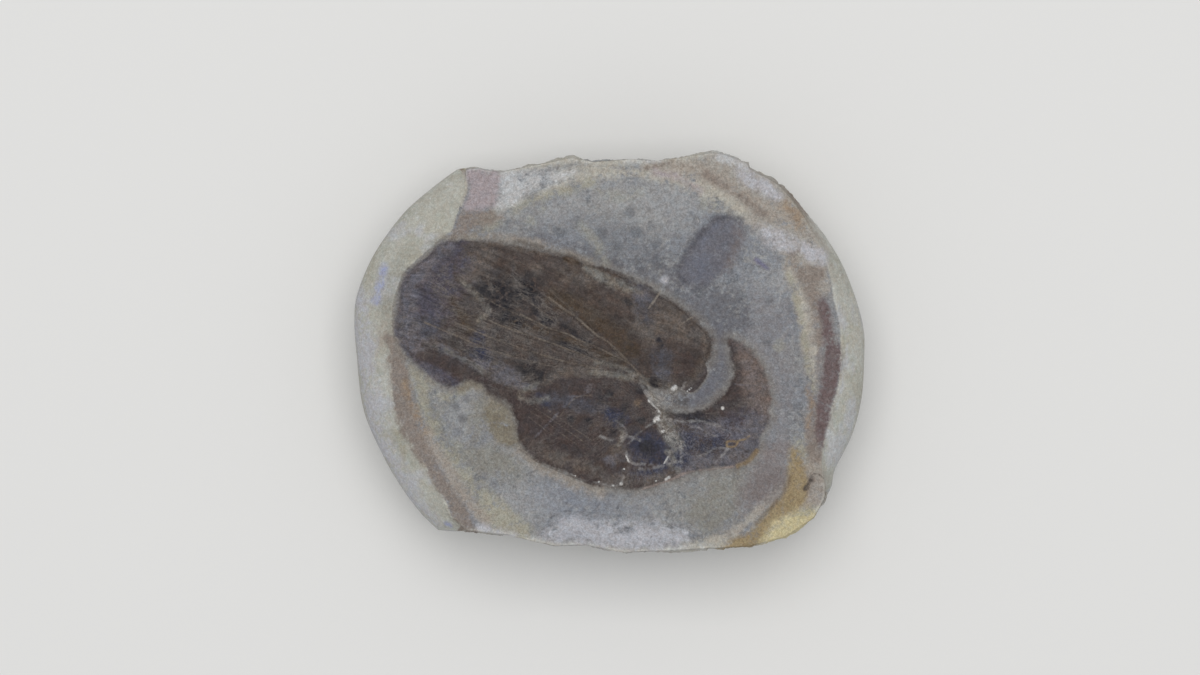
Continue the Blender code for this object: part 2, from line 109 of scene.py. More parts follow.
FLAP = [
    (-29.2, 1.8), (-25.8, 1.6), (-21.8, 0.2), (-18.4, -2.0), (-17.0, -4.6), (-19.6, -3.9),
    (-22.3, -4.9), (-24.6, -3.7), (-27.0, -1.7), (-28.8, 0.2),
]
# The main veins in order from the wing's front edge to its back edge, each from its root out.
FOREWING_VEINS = [
    [(4.6, -2.9), (1.6, 0.0), (-1.5, 2.3), (-5.5, 5.6), (-9.7, 8.5), (-15.3, 11.9), (-20.6, 14.4)],
    [(1.6, -0.9), (-2.7, 1.3), (-8.6, 3.6), (-13.2, 5.7), (-20.2, 8.5), (-25.4, 10.9)],
    [(-1.3, -0.8), (-7.0, 1.0), (-12.5, 3.2), (-20.2, 5.7), (-27.6, 8.9)],
    [(-3.4, -1.5), (-9.7, 0.0), (-15.3, 1.8), (-21.6, 3.7), (-28.4, 6.1)],
    [(-9.7, -1.7), (-15.0, -0.4), (-20.2, 1.2), (-25.0, 2.6), (-28.9, 3.6)],
]
HINDWING_VEINS = [
    [(5.5, -7.4), (1.0, -8.0), (-4.0, -7.2), (-9.4, -6.6)],
    [(5.0, -8.6), (0.0, -10.8), (-5.0, -12.0), (-10.0, -12.6)],
    [(5.6, -9.8), (2.6, -13.0), (-0.6, -15.6)],
    [(7.6, -9.6), (11.4, -12.6), (16.4, -13.6)],
    [(9.4, -9.6), (14.4, -9.4), (20.6, -8.6)],
]
FOREWING_ROOT = (5.9, -4.9)
HINDWING_ROOT = (5.6, -7.2)

FILM_LEDGE = 0.15
FOREWING_LEDGE = 0.17
FOREWING_DOME = 0.65
FOREWING_DOME_REACH = 7.0
HINDWING_DOME = 0.30
HINDWING_DOME_REACH = 5.0
LEDGE_RUN = 0.80
VEIN_HEIGHT = 0.13
VEIN_HALF_WIDTH = 0.24
FACE_SWELL = (0.45, 17.0)
FACE_GRIT = (0.16, 3.2)
SKIN_LUMPS = (0.40, 9.0)
BREAK_LUMPS = (1.30, 7.0)

# --- Finer shape, in millimetres, which only the looks have ----------------------------------

FINE_GRIT = (0.055, 0.9)        # height and size of one lump
SKIN_GRIT = (0.10, 2.4)
BREAK_HACKLE = (0.45, 2.2)
HACKLE_SQUASH = 2.2             # how much finer the hackles are along Z
FOOT_LUMP = 6.0                 # size of the waves along the broken ends' foot
LUMP_GAIN = 1.6                 # brings the noise of the lumps to about -1 to 1
SMOOTHED_GRIT = 0.7             # share of the grit that is missing under the film
SMOOTHED_FINE_GRIT = 0.5
SMALL_VEINS_PER_SPAN = 3        # small veins between one main vein and the next
SMALL_VEIN_HEIGHT = 0.035
SMALL_VEIN_HALF_WIDTH = 0.13
SMALL_VEIN_SPANS = (0.9, 2.4)   # spans this wide start to show small veins, and show them fully
SMALL_VEIN_START = (5.0, 8.0)   # the same for the distance from the hindwing's root
HINDWING_SMALL_VEIN_TURN = 0.13  # between the hindwing's small veins, in radians
VEIN_REACH = 1.5                # no vein is felt further away than this
SPAN_WIDTH = 2.6                # a forewing span between two main veins, as the material sees it
FAN_RADIUS = 9.0                # the hindwing's fan is as wide as an arc of this radius
FLAKE_REACH = 1.6               # a flake's far edge, as a multiple of its near edge's distance
# dark_mark and the painted shadow lines along the film's edges are also sunk a little into the face
SINK = {"dark_mark": 0.25, "edge_shadow": 0.07}
STAND = {"mineral": 0.07, "pink_line": 0.05, "ochre_line": 0.05}

BREAK_BAND = (0.6, 1.8)         # widths of the skin's band on a broken end, and on natural skin
EVEN_FROM = 0.15                # turn below the widest row where the underside starts to even out
MARKED_HEIGHTS = (9.0, 13.0)    # the markings fade out on the sides between these heights
EDGE_HIGHLIGHT_HEIGHT = 15.5         # the broken ends' edge keeps its full painted highlight down to this height
EDGE_HIGHLIGHT_FADE = 0.12           # further out, in millimetres, per millimetre below it
EDGE_HIGHLIGHT_END = 4.0             # natural skin is this much further from the painted edge highlight
OUTSIDE = 3.0                   # depths inside a shape aren't measured further out than this

FACE_RINGS = 150                # rings of points on the split face, with six more in each
RINGS_OF_RIM = 3                # rings over which the split face's colours end at its rim
SKIN_ROWS = 10
WALL_ROWS = 12
UNDER_ROWS = 8
CURVE_STEPS = 12                # steps of a curve from one of its points to the next
CHUNK = 4000                    # points that are measured at a time, to save memory

# --- Markings on the split face --------------------------------------------------------------

# The photo looks straight down on the stone, so the points of the markings are given in
# its 1200 by 675 pixels, as (across, down). Half widths, radii and the softness of edges are in
# millimetres.
PHOTO_MIDDLE = (600.0, 337.5)
CAMERA_OVER = (-1.34, 2.17)     # where the photo's middle is on the stone
PIXEL = 0.1398                  # width of a pixel on the split face
MARKING_CURVE_STEPS = 6


def on_stone(pixels):
    """Where pixels of the photo are on the stone, to the nearest 0.1 millimetres."""
    return [
        (round(CAMERA_OVER[0] + (across - PHOTO_MIDDLE[0]) * PIXEL, 1),
         round(CAMERA_OVER[1] + (PHOTO_MIDDLE[1] - down) * PIXEL, 1))
        for across, down in pixels
    ]


def area(softness, *pixels):
    """A marking that fills a smooth loop through the points."""
    return "area", 0.0, softness, on_stone(pixels)


def line(half_width, softness, *pixels):
    """A marking along a smooth curve through the points."""
    return "line", half_width, softness, on_stone(pixels)


def spots(radius, softness, *pixels):
    """A marking of round spots with the points as their middles."""
    return "spots", radius, softness, on_stone(pixels)


MARKINGS = {
    "pale_matrix": [
        area(2.6, (576, 182), (600, 176), (645, 175), (688, 186), (700, 204), (690, 224), (655, 232),
            (630, 218), (600, 210), (560, 216), (548, 202), (560, 190)),
        area(2.6, (752, 272), (775, 264), (788, 268), (794, 290), (780, 302), (764, 292)),
        area(2.2, (455, 396), (476, 392), (478, 415), (470, 440), (456, 438), (449, 415)),
        area(2.2, (505, 492), (545, 489), (558, 505), (530, 522), (507, 512)),
        area(3.0, (525, 208), (560, 198), (600, 216), (612, 226), (590, 230), (550, 224), (520, 220)),
    ],
    "dusky_matrix": [
        area(1.5, (656, 254), (676, 264), (688, 282), (722, 286), (744, 298), (750, 320), (737, 336),
            (716, 334), (694, 320), (672, 296), (652, 272)),
        area(1.2, (520, 236), (560, 240), (600, 252), (640, 263), (664, 270), (660, 284), (636, 277),
            (604, 266), (572, 258), (540, 250), (518, 243)),
    ],
    "gap_brown": [
        line(0.3, 0.4, (484, 392), (492, 397), (502, 402), (513, 410)),
        line(0.3, 0.5, (516, 242), (534, 246), (550, 251), (566, 255), (580, 259)),
        area(1.0, (656, 388), (672, 380), (692, 374), (700, 380), (692, 394), (686, 408), (674, 406),
            (664, 398)),
    ],
    "cool_matrix": [
        area(3.4, (540, 483), (600, 498), (650, 502), (640, 516), (590, 510), (545, 517), (527, 500)),
    ],
    "violet_matrix": [
        area(3.0, (752, 298), (788, 306), (795, 380), (788, 430), (768, 455), (762, 400), (745, 350)),
    ],
    "warm_matrix": [
        area(2.8, (420, 408), (445, 404), (450, 440), (500, 450), (518, 468), (500, 476), (458, 455),
            (432, 430)),
        area(3.2, (690, 503), (720, 480), (755, 472), (745, 508), (728, 530), (692, 527), (682, 515)),
        area(2.2, (470, 404), (487, 400), (483, 436), (471, 442)),
        area(0.9, (462, 238), (476, 226), (490, 218), (500, 222), (488, 234), (472, 241)),
    ],
    "dark_matrix": [
        area(3.0, (560, 220), (600, 217), (640, 233), (680, 240), (660, 268), (620, 265), (585, 245)),
        area(2.2, (495, 220), (530, 214), (565, 232), (560, 244), (520, 236), (490, 232)),
        area(2.2, (715, 300), (740, 315), (750, 340), (735, 345), (715, 330)),
    ],
    "dark_mottle": [
        spots(0.7, 0.8, (576, 222), (602, 234), (636, 232), (655, 243), (618, 246), (640, 262),
            (664, 262), (676, 296), (598, 254), (560, 232), (630, 212), (700, 292)),
        spots(0.56, 0.7, (455, 405), (462, 418), (466, 398), (458, 432), (745, 300), (752, 322),
            (770, 300), (768, 342), (748, 352), (652, 226)),
    ],
    "cream_mottle": [
        line(0.5, 1.0, (470, 240), (488, 226), (500, 222)),
        line(0.4, 1.0, (580, 225), (594, 240), (606, 262)),
        line(0.5, 1.2, (600, 192), (622, 196), (640, 190)),
        spots(0.7, 0.9, (715, 206), (705, 204), (515, 212), (540, 206), (530, 222), (780, 345),
            (488, 400), (455, 445)),
    ],
    "pink_matrix": [
        area(2.0, (768, 440), (791, 446), (785, 476), (764, 504), (744, 516), (738, 500), (752, 466)),
        area(1.2, (806, 300), (818, 296), (823, 330), (824, 385), (816, 425), (812, 470), (804, 462),
            (808, 420), (808, 370), (804, 330)),
    ],
    "stone_yellow": [
        line(0.4, 1.2, (478, 222), (494, 212), (520, 203), (560, 192), (590, 183)),
        line(0.3, 0.8, (790, 275), (797, 300), (802, 325), (806, 352), (810, 372), (814, 392)),
        area(1.3, (410, 366), (422, 372), (434, 386), (426, 400), (436, 424), (450, 448), (470, 470),
            (492, 492), (510, 510), (532, 530), (524, 538), (486, 534), (478, 508), (464, 484),
            (448, 462), (434, 440), (422, 412), (413, 388)),
        line(0.4, 1.1, (420, 382), (436, 393), (452, 397), (466, 386)),
        line(0.8, 1.2, (800, 440), (806, 460), (812, 470)),
        area(1.0, (390, 430), (401, 434), (406, 448), (403, 458), (395, 449)),
    ],
    "cream": [
        line(1.0, 1.4, (560, 176), (600, 172), (640, 170), (675, 176), (700, 186), (722, 199),
            (738, 210)),
        line(0.7, 1.0, (500, 168), (540, 163), (575, 158), (610, 162), (640, 160), (700, 155)),
        line(0.6, 0.9, (480, 536), (520, 541), (560, 548), (600, 549), (640, 554), (700, 551),
            (720, 548)),
        line(0.5, 0.8, (540, 196), (556, 186), (590, 176)),
        line(0.45, 0.8, (786, 262), (796, 285), (801, 304), (806, 330)),
        line(0.4, 0.8, (812, 350), (814, 372), (815, 388)),
        area(1.2, (486, 498), (498, 504), (514, 518), (528, 531), (510, 536), (490, 533), (482, 516)),
        line(0.8, 0.9, (684, 545), (704, 546), (722, 543)),
        # Painted lightening of the steep wall at the upper left, against the shade it gets from above.
        line(0.2, 0.25, (462, 170), (465, 180), (465, 192), (461, 205)),
    ],
    "stone_tan": [
        line(0.4, 0.9, (440, 237), (470, 236), (520, 240), (560, 250), (592, 263)),
        line(0.7, 1.4, (520, 452), (540, 466), (572, 480), (600, 492)),
        area(1.2, (650, 163), (690, 161), (712, 169), (736, 183), (762, 198), (788, 212), (796, 222),
            (786, 228), (768, 218), (748, 204), (722, 189), (696, 177), (662, 170)),
        area(0.9, (800, 465), (814, 456), (824, 470), (824, 500), (812, 508), (797, 510), (794, 488)),
        area(1.2, (385, 292), (391, 298), (391, 330), (385, 343), (378, 354), (376, 345), (383, 320)),
        line(0.8, 0.9, (424, 430), (434, 449), (446, 466), (458, 485), (468, 499), (477, 512),
            (486, 522)),
    ],
    "stone_ochre": [
        area(0.9, (488, 406), (506, 403), (514, 416), (517, 430), (518, 445), (506, 445), (494, 438),
            (486, 424)),
        line(0.6, 0.9, (462, 388), (474, 381), (486, 392), (492, 402)),
    ],
    "pale_pink": [
        area(1.4, (640, 160), (690, 155), (735, 151), (768, 166), (792, 190), (812, 220), (826, 250),
            (833, 282), (812, 300), (799, 304), (790, 284), (784, 262), (772, 246), (756, 232),
            (738, 212), (715, 197), (690, 184), (662, 176)),
        area(0.9, (796, 300), (812, 298), (818, 330), (818, 352), (804, 352), (800, 330)),
        line(0.6, 0.8, (712, 542), (738, 530), (753, 516), (767, 502), (779, 488)),
    ],
    "ring_brown": [
        area(0.7, (386, 334), (387, 352), (390, 380), (392, 400), (398, 425), (409, 446), (422, 466),
            (436, 488), (447, 507), (458, 526), (468, 538), (478, 536), (467, 512), (454, 492),
            (440, 470), (428, 447), (420, 424), (414, 400), (410, 380), (404, 358), (398, 338)),
        area(0.8, (462, 212), (484, 209), (496, 212), (482, 225), (466, 235), (449, 240), (454, 227)),
        line(0.4, 0.9, (706, 174), (726, 186), (746, 200), (764, 214)),
        area(0.8, (787, 252), (798, 262), (812, 266), (824, 266), (824, 278), (817, 286), (820, 300),
            (812, 303), (804, 290), (794, 274)),
        line(0.25, 0.7, (800, 250), (790, 256), (786, 268)),
        area(0.9, (808, 430), (816, 428), (820, 446), (820, 462), (810, 462), (806, 446)),
        line(0.35, 0.8, (464, 236), (478, 228), (492, 219), (502, 216)),
        line(0.5, 0.8, (812, 477), (806, 489), (801, 497)),
        line(0.25, 0.7, (640, 168), (655, 167), (668, 163)),
        line(0.5, 0.9, (806, 288), (812, 300), (817, 312), (820, 326), (820, 340)),
        line(0.4, 0.8, (812, 400), (816, 412), (817, 426)),
    ],
    "stain_pink": [
        area(1.5, (752, 480), (780, 468), (785, 486), (768, 502), (752, 496)),
        area(1.2, (735, 224), (743, 232), (740, 250), (729, 270), (726, 262), (733, 242)),
    ],
    "stone_orange": [
        line(0.4, 0.9, (405, 384), (411, 400), (419, 420), (423, 432)),
        line(0.3, 0.7, (807, 388), (811, 405), (808, 425)),
        line(0.7, 1.3, (786, 205), (795, 213), (801, 226)),
    ],
    "ring_purple": [
        area(0.7, (819, 302), (824, 298), (828, 303), (831, 314), (834, 328), (839, 341), (843, 354),
            (841, 370), (838, 386), (834, 402), (831, 416), (828, 430), (823, 448), (816, 436),
            (816, 420), (818, 403), (822, 385), (824, 365), (824, 345), (823, 328), (820, 314)),
    ],
    "ochre": [
        area(0.8, (790, 450), (800, 452), (807, 476), (805, 500), (795, 511), (780, 520), (770, 532),
            (754, 553), (706, 558), (724, 545), (744, 534), (758, 523), (770, 510), (783, 494),
            (788, 474)),
    ],
    # Painted shadow: a dark line cast by the edge of a chip in the lower right corner.
    "chip_edge_shadow": [
        line(0.15, 0.5, (790, 478), (783, 494), (770, 509), (757, 523)),
    ],
    "yellow": [
        area(1.5, (762, 552), (768, 531), (785, 518), (806, 510), (820, 512), (825, 524), (815, 536),
            (792, 547)),
    ],
    "lilac_white": [
        area(1.2, (758, 227), (780, 229), (794, 238), (798, 247), (786, 250), (770, 246)),
        area(0.8, (803, 243), (814, 245), (827, 254), (826, 265), (812, 262), (803, 254)),
        line(0.5, 1.0, (480, 526), (496, 532), (512, 536)),
        area(1.2, (738, 168), (752, 172), (770, 184), (782, 197), (772, 198), (753, 189), (739, 178)),
        area(1.6, (538, 538), (552, 526), (578, 517), (604, 523), (626, 524), (650, 522), (672, 525),
            (690, 534), (684, 546), (650, 551), (600, 548), (560, 544)),
        # Painted cool reflection on the left skin's steep slope.
        area(1.8, (352, 300), (364, 300), (372, 340), (376, 380), (382, 420), (398, 462), (420, 500),
            (436, 525), (424, 520), (390, 472), (366, 420), (354, 360)),
        spots(0.56, 0.6, (665, 280)),
    ],
    "white": [
        area(1.2, (498, 174), (515, 169), (548, 172), (576, 171), (554, 184), (530, 192), (512, 205),
            (497, 209)),
        area(0.9, (716, 157), (722, 152), (735, 157), (747, 164), (743, 168), (728, 163)),
        # Painted highlight: a narrow facet and a thin line along the crest of the right skin.
        area(0.7, (828, 430), (834, 434), (835, 455), (830, 468), (826, 460), (827, 445)),
        line(0.15, 0.3, (838, 303), (842, 316), (846, 334), (847, 352), (845, 372), (841, 392),
            (836, 412)),
        line(0.5, 1.0, (552, 533), (575, 526), (600, 534), (622, 540), (650, 532), (684, 533)),
        line(0.5, 0.9, (632, 160), (645, 158), (660, 157)),
    ],
    "pink": [
        area(0.8, (465, 168), (484, 170), (497, 171), (499, 188), (494, 206), (473, 211), (464, 205),
            (470, 190)),
        line(0.3, 1.0, (655, 172), (680, 178), (700, 190)),
    ],
    "blue": [
        line(0.45, 0.9, (383, 268), (380, 284), (376, 300)),
        line(0.2, 0.5, (446, 524), (450, 527)),
    ],
    "stain": [
        area(1.0, (727, 216), (715, 219), (703, 229), (691, 246), (681, 262), (677, 276), (688, 286),
            (710, 282), (725, 272), (737, 254), (743, 236), (740, 222)),
    ],
    # Painted shade: a dark rim round the stain and a painted shadow under its lower edge.
    "stain_shadow": [
        line(0.3, 0.7, (680, 284), (690, 287), (704, 286)),
        line(0.35, 0.8, (740, 219), (728, 217), (715, 220), (703, 230), (692, 246), (682, 263),
            (679, 276), (688, 284)),
    ],
    "stain_blue": [
        line(0.3, 0.8, (716, 224), (706, 238), (700, 250)),
        area(1.4, (692, 262), (702, 254), (710, 262), (706, 276), (694, 276)),
    ],
    "gap_film": [
        area(1.2, (716, 322), (728, 330), (734, 352), (735, 380), (722, 398), (704, 410), (686, 408),
            (688, 396), (704, 380), (713, 356)),
    ],
    "violet_mark": [
        line(0.28, 0.4, (756, 260), (762, 264), (768, 268)),
    ],
    "dark_mark": [
        line(0.12, 0.35, (812, 476), (809, 483), (804, 490)),
        line(0.06, 0.15, (812, 475), (818, 474), (825, 479)),
        spots(0.31, 0.3, (806, 488), (811, 480)),
    ],
    "film_tip": [
        area(0.6, (404, 352), (400, 335), (399, 312), (401, 292), (407, 276), (416, 264), (428, 254),
            (440, 246), (450, 244), (452, 254), (434, 270), (418, 292), (412, 315), (414, 345)),
        area(0.6, (676, 384), (688, 372), (700, 358), (707, 364), (708, 376), (700, 388), (690, 394)),
    ],
    "film_grey": [
        area(1.0, (398, 352), (391, 330), (391, 300), (399, 270), (412, 254), (432, 241), (452, 238),
            (450, 254), (434, 268), (421, 288), (416, 312), (419, 338), (424, 350)),
        area(1.4, (404, 350), (420, 364), (440, 380), (428, 382), (412, 370)),
        area(1.2, (676, 470), (694, 452), (724, 454), (740, 440), (742, 420), (760, 414), (774, 424),
            (766, 452), (742, 472), (700, 476)),
        area(1.2, (690, 428), (712, 422), (740, 424), (738, 434), (706, 434)),
        area(0.7, (476, 361), (492, 363), (508, 366), (522, 374), (520, 387), (505, 384), (490, 377),
            (477, 369)),
        line(0.42, 0.5, (404, 340), (420, 338), (432, 345), (446, 350), (460, 357), (470, 363),
            (480, 369), (490, 374), (505, 379), (520, 384), (535, 387)),
        spots(0.56, 0.6, (590, 389)),
        spots(0.7, 0.7, (610, 461), (620, 457)),
        spots(0.84, 0.9, (640, 298)),
    ],
    "skin_green": [
        line(0.5, 0.7, (391, 330), (391, 308), (394, 288), (402, 270), (415, 256), (430, 245),
            (442, 238)),
        line(0.9, 1.0, (386, 310), (388, 288), (393, 271), (403, 256), (416, 245)),
    ],
    "film_brown": [
        area(1.6, (465, 243), (500, 243), (560, 255), (600, 268), (640, 285), (675, 305), (696, 330),
            (704, 356), (690, 385), (668, 380), (634, 360), (594, 332), (556, 304), (518, 270),
            (480, 262)),
    ],
    "film_violet": [
        area(3.2, (388, 300), (402, 265), (435, 238), (460, 238), (468, 262), (458, 296), (434, 332),
            (396, 340)),
        area(0.9, (415, 355), (436, 366), (456, 378), (460, 386), (450, 392), (432, 385), (414, 368)),
        area(1.2, (690, 420), (730, 415), (762, 405), (764, 425), (748, 440), (700, 432)),
    ],
    "film_slate": [
        area(1.2, (535, 396), (556, 394), (580, 400), (604, 404), (610, 412), (590, 413), (566, 409),
            (548, 406)),
        area(1.3, (403, 322), (430, 318), (436, 335), (412, 340)),
        area(0.9, (466, 347), (484, 350), (500, 360), (498, 368), (486, 367), (470, 358)),
        area(1.2, (630, 280), (648, 284), (655, 300), (650, 322), (638, 316), (634, 300)),
        area(1.2, (655, 350), (672, 352), (668, 380), (655, 372)),
    ],
    "film_tan": [
        area(1.0, (600, 478), (618, 474), (632, 476), (628, 486), (608, 489)),
        area(1.6, (632, 296), (656, 298), (680, 310), (696, 326), (700, 338), (690, 342), (672, 336),
            (650, 340), (630, 334), (634, 316)),
        line(0.8, 1.2, (600, 276), (630, 290), (655, 304)),
        area(0.9, (612, 447), (628, 446), (631, 457), (619, 463), (610, 457)),
        line(0.6, 1.0, (722, 322), (736, 332), (750, 346)),
        line(0.8, 1.2, (524, 438), (545, 452), (575, 465), (600, 473)),
        area(1.0, (646, 476), (670, 466), (692, 464), (690, 474), (664, 482), (644, 486)),
        area(1.0, (556, 266), (586, 272), (600, 284), (580, 286), (560, 278)),
        area(1.3, (452, 248), (490, 248), (500, 254), (490, 264), (474, 280), (462, 268)),
        # Painted lightening along the forewing's front ledge, against the shade the ledge casts.
        line(0.35, 0.4, (450, 248), (470, 245), (495, 244), (528, 250), (548, 255)),
        line(0.5, 0.8, (700, 334), (707, 346), (706, 360), (698, 372), (686, 384)),
        line(0.6, 0.7, (600, 372), (578, 372), (558, 374), (545, 381), (530, 387)),
        spots(0.84, 0.8, (535, 270)),
    ],
    "film_pink": [
        area(1.2, (720, 322), (748, 336), (772, 362), (780, 392), (772, 424), (756, 412), (744, 392),
            (738, 360), (732, 340)),
    ],
    "film_orange": [
        line(1.2, 1.2, (556, 298), (576, 308), (594, 320), (612, 333), (630, 350)),
        line(0.5, 0.8, (512, 322), (536, 329), (560, 334)),
        line(0.6, 0.9, (556, 338), (590, 350), (622, 362)),
        line(0.6, 0.9, (452, 300), (462, 315), (470, 330)),
        line(0.35, 0.4, (566, 259), (577, 263)),
    ],
    "spot_orange": [
        spots(0.48, 0.6, (638, 404)),
    ],
    "film_red": [
        area(1.2, (678, 348), (690, 354), (692, 370), (682, 380), (674, 366)),
        area(1.5, (505, 402), (525, 398), (545, 412), (560, 440), (545, 452), (522, 446), (512, 425)),
        line(0.4, 0.5, (420, 355), (430, 359), (440, 363), (452, 368), (465, 374), (478, 385), (488, 392),
            (500, 399), (512, 405)),
    ],
    "film_cells": [
        area(1.0, (476, 286), (488, 278), (512, 279), (530, 276), (540, 286), (536, 304), (516, 306),
            (512, 316), (498, 316), (486, 300)),
        area(0.8, (494, 312), (512, 313), (530, 322), (518, 328), (500, 324)),
        area(0.9, (516, 364), (530, 363), (546, 370), (544, 380), (524, 380)),
    ],
    "film_dark": [
        line(0.45, 0.5, (534, 312), (552, 320), (564, 326), (573, 332)),
        line(0.2, 0.5, (576, 336), (586, 341), (600, 348)),
        line(0.3, 0.6, (560, 343), (575, 349), (592, 354)),
        area(1.0, (664, 402), (700, 412), (716, 418), (700, 424), (672, 416)),
        area(1.0, (638, 446), (650, 442), (658, 450), (648, 458)),
        spots(0.5, 0.5, (483, 290), (496, 286), (512, 297), (506, 306), (516, 292)),
        spots(0.7, 0.6, (525, 291), (504, 318), (530, 372), (654, 384), (641, 389)),
        spots(0.45, 0.4, (561, 329), (519, 369), (538, 374), (626, 301), (629, 304), (660, 340),
            (661, 346), (519, 325)),
        spots(0.56, 0.6, (614, 432), (609, 394), (625, 408), (588, 421), (571, 419), (602, 399),
            (642, 420), (620, 421)),
        spots(0.84, 0.7, (547, 320)),
    ],
    "film_blue": [
        area(1.4, (630, 440), (645, 434), (662, 438), (668, 456), (650, 466), (632, 458)),
        area(1.4, (698, 436), (712, 434), (724, 440), (722, 450), (706, 454), (696, 448)),
        area(0.9, (606, 411), (622, 411), (629, 421), (617, 428), (606, 422)),
        line(0.4, 0.8, (540, 396), (546, 404)),
        area(1.0, (668, 440), (690, 430), (700, 440), (690, 462), (670, 470), (640, 476), (630, 472),
            (655, 466)),
        spots(0.91, 0.9, (478, 338), (484, 352)),
    ],
    "film_pale": [
        line(0.4, 0.6, (652, 387), (636, 380), (616, 375), (592, 372)),
        line(0.25, 0.4, (446, 350), (460, 357), (472, 364), (484, 371)),
        line(0.2, 0.5, (648, 381), (620, 367), (596, 362)),
        line(0.25, 0.6, (536, 384), (520, 394), (528, 402), (548, 398)),
        line(0.35, 0.7, (457, 277), (468, 286), (476, 295), (488, 310), (478, 320)),
        area(0.7, (584, 263), (600, 272), (616, 279), (636, 287), (640, 293), (618, 289), (600, 282),
            (586, 272)),
        area(1.0, (650, 386), (658, 391), (668, 386), (684, 396), (680, 410), (670, 416), (676, 428),
            (680, 444), (674, 450), (665, 434), (658, 420), (652, 404)),
        line(0.4, 0.7, (665.5, 431), (669, 438), (675, 445)),
        line(0.18, 0.5, (619, 428), (623, 432), (620, 440), (616, 448)),
        line(0.3, 0.6, (668, 452), (673, 458), (671, 466), (678, 470)),
    ],
    # Painted shadow: dark lines along the wing film's raised edges, where the ledge casts shade.
    "edge_shadow": [
        line(0.18, 0.2, (599, 267), (616, 272), (634, 279)),
        line(0.1, 0.15, (640, 282), (664, 296), (690, 318)),
        line(0.09, 0.12, (519, 449), (540, 463), (570, 476), (590, 484)),
    ],
    "vein_light": [
        line(0.11, 0.2, (549, 297.5), (562, 307), (570, 313), (578, 318.6), (585, 325), (592, 331),
            (599, 336.5), (607, 341), (630, 364), (652, 388)),
        line(0.08, 0.18, (520, 314), (538, 323), (548, 328), (569, 334.5), (579, 340), (589, 344),
            (599, 348), (609, 353), (630, 364)),
        line(0.08, 0.18, (484, 318), (500, 325), (520, 332), (545, 341), (570, 350), (604, 364)),
        line(0.08, 0.18, (455, 322), (480, 333), (500, 341), (530, 351), (560, 360), (596, 368)),
        line(0.08, 0.18, (424, 322), (452, 334), (484, 347), (516, 357), (550, 366)),
        line(0.05, 0.16, (530, 302), (548, 316), (560, 328)),
        line(0.05, 0.16, (474, 290), (494, 303), (516, 314), (536, 322)),
        line(0.05, 0.16, (440, 304), (462, 313), (484, 318)),
        line(0.05, 0.15, (592, 395), (575, 398), (560, 415)),
        line(0.03, 0.15, (738, 384), (756, 384), (765, 386)),
        line(0.04, 0.16, (531, 412), (545, 421), (562, 434), (576, 444)),
        line(0.04, 0.16, (536, 409), (552, 419), (568, 431), (584, 442)),
        line(0.04, 0.16, (542, 407), (558, 417), (574, 428), (592, 440)),
        line(0.04, 0.16, (528, 417), (540, 426), (554, 437)),
    ],
    "tan_line": [
        line(0.07, 0.14, (692, 317), (686, 321), (680, 326)),
        line(0.13, 0.14, (661, 291), (655, 300), (649, 308)),
    ],
    "web": [
        area(0.7, (647, 390), (652, 391), (658, 397), (665, 392), (675, 387), (682, 393), (678, 402),
            (667, 408), (663, 414), (667, 424), (675, 434), (684, 445), (678, 449), (668, 441),
            (660, 432), (658, 421), (654, 409), (648, 398)),
    ],
    "thin_web": [
        area(1.2, (668, 420), (700, 418), (736, 420), (752, 428), (742, 450), (700, 468), (650, 480),
            (620, 478), (618, 470), (650, 470), (672, 456), (674, 438)),
    ],
    "lilac_line": [
        line(0.06, 0.25, (726, 424), (741, 421), (752, 418), (766, 416)),
        line(0.05, 0.25, (734, 384), (748, 385), (762, 386), (770, 392)),
        line(0.05, 0.4, (572, 400), (560, 410), (548, 424), (534, 438)),
        line(0.05, 0.3, (566, 396), (580, 396), (590, 392)),
    ],
    "wisp": [
        line(0.1, 0.4, (657, 419), (672, 420), (685, 422), (698, 421), (711, 424), (724, 429),
            (732, 435)),
        line(0.08, 0.35, (689, 427), (700, 428), (707, 434), (716, 436)),
        line(0.08, 0.35, (683, 451), (692, 455), (702, 455), (715, 449), (728, 448)),
        line(0.08, 0.3, (708, 467), (719, 458), (729, 448)),
        line(0.12, 0.35, (625, 450), (628, 458), (633, 463), (643, 464), (653, 465), (662, 465),
            (668, 458), (670, 452)),
        line(0.08, 0.35, (621, 468), (624, 475), (621, 483)),
        line(0.08, 0.4, (594, 482), (610, 485), (622, 484)),
        line(0.08, 0.4, (638, 469), (651, 468), (662, 466), (676, 462)),
        line(0.06, 0.4, (616, 420), (627, 432), (622, 442), (614, 450)),
        line(0.05, 0.3, (628, 444), (640, 432), (657, 420)),
        line(0.1, 0.45, (662, 430), (676, 444), (682, 453), (681, 462)),
        line(0.12, 0.4, (634, 376), (643, 388), (653, 404), (657, 419), (664, 432)),
        line(0.1, 0.4, (656, 406), (670, 400), (679, 394), (686, 382)),
        line(0.08, 0.4, (660, 398), (668, 392), (674, 386)),
        line(0.08, 0.4, (600, 436), (612, 440), (626, 436), (640, 440)),
    ],
    "mineral": [
        line(0.1, 0.16, (648, 400), (656, 408), (661, 414)),
        line(0.16, 0.18, (655, 419), (660, 416)),
        line(0.1, 0.16, (661, 431), (665, 430)),
        line(0.07, 0.12, (691, 388.3), (685.4, 392.9)),
        line(0.1, 0.12, (626, 456), (629, 462)),
        line(0.08, 0.12, (668, 457), (664, 464)),
        line(0.06, 0.1, (570, 474), (576, 476)),
        spots(0.31, 0.2, (673, 388.6), (675.5, 387), (657.2, 419)),
        spots(0.22, 0.18, (662.2, 431.4), (621.1, 483.7), (666, 479.6), (669, 477.6), (655, 421)),
        spots(0.25, 0.16, (722.7, 408.2)),
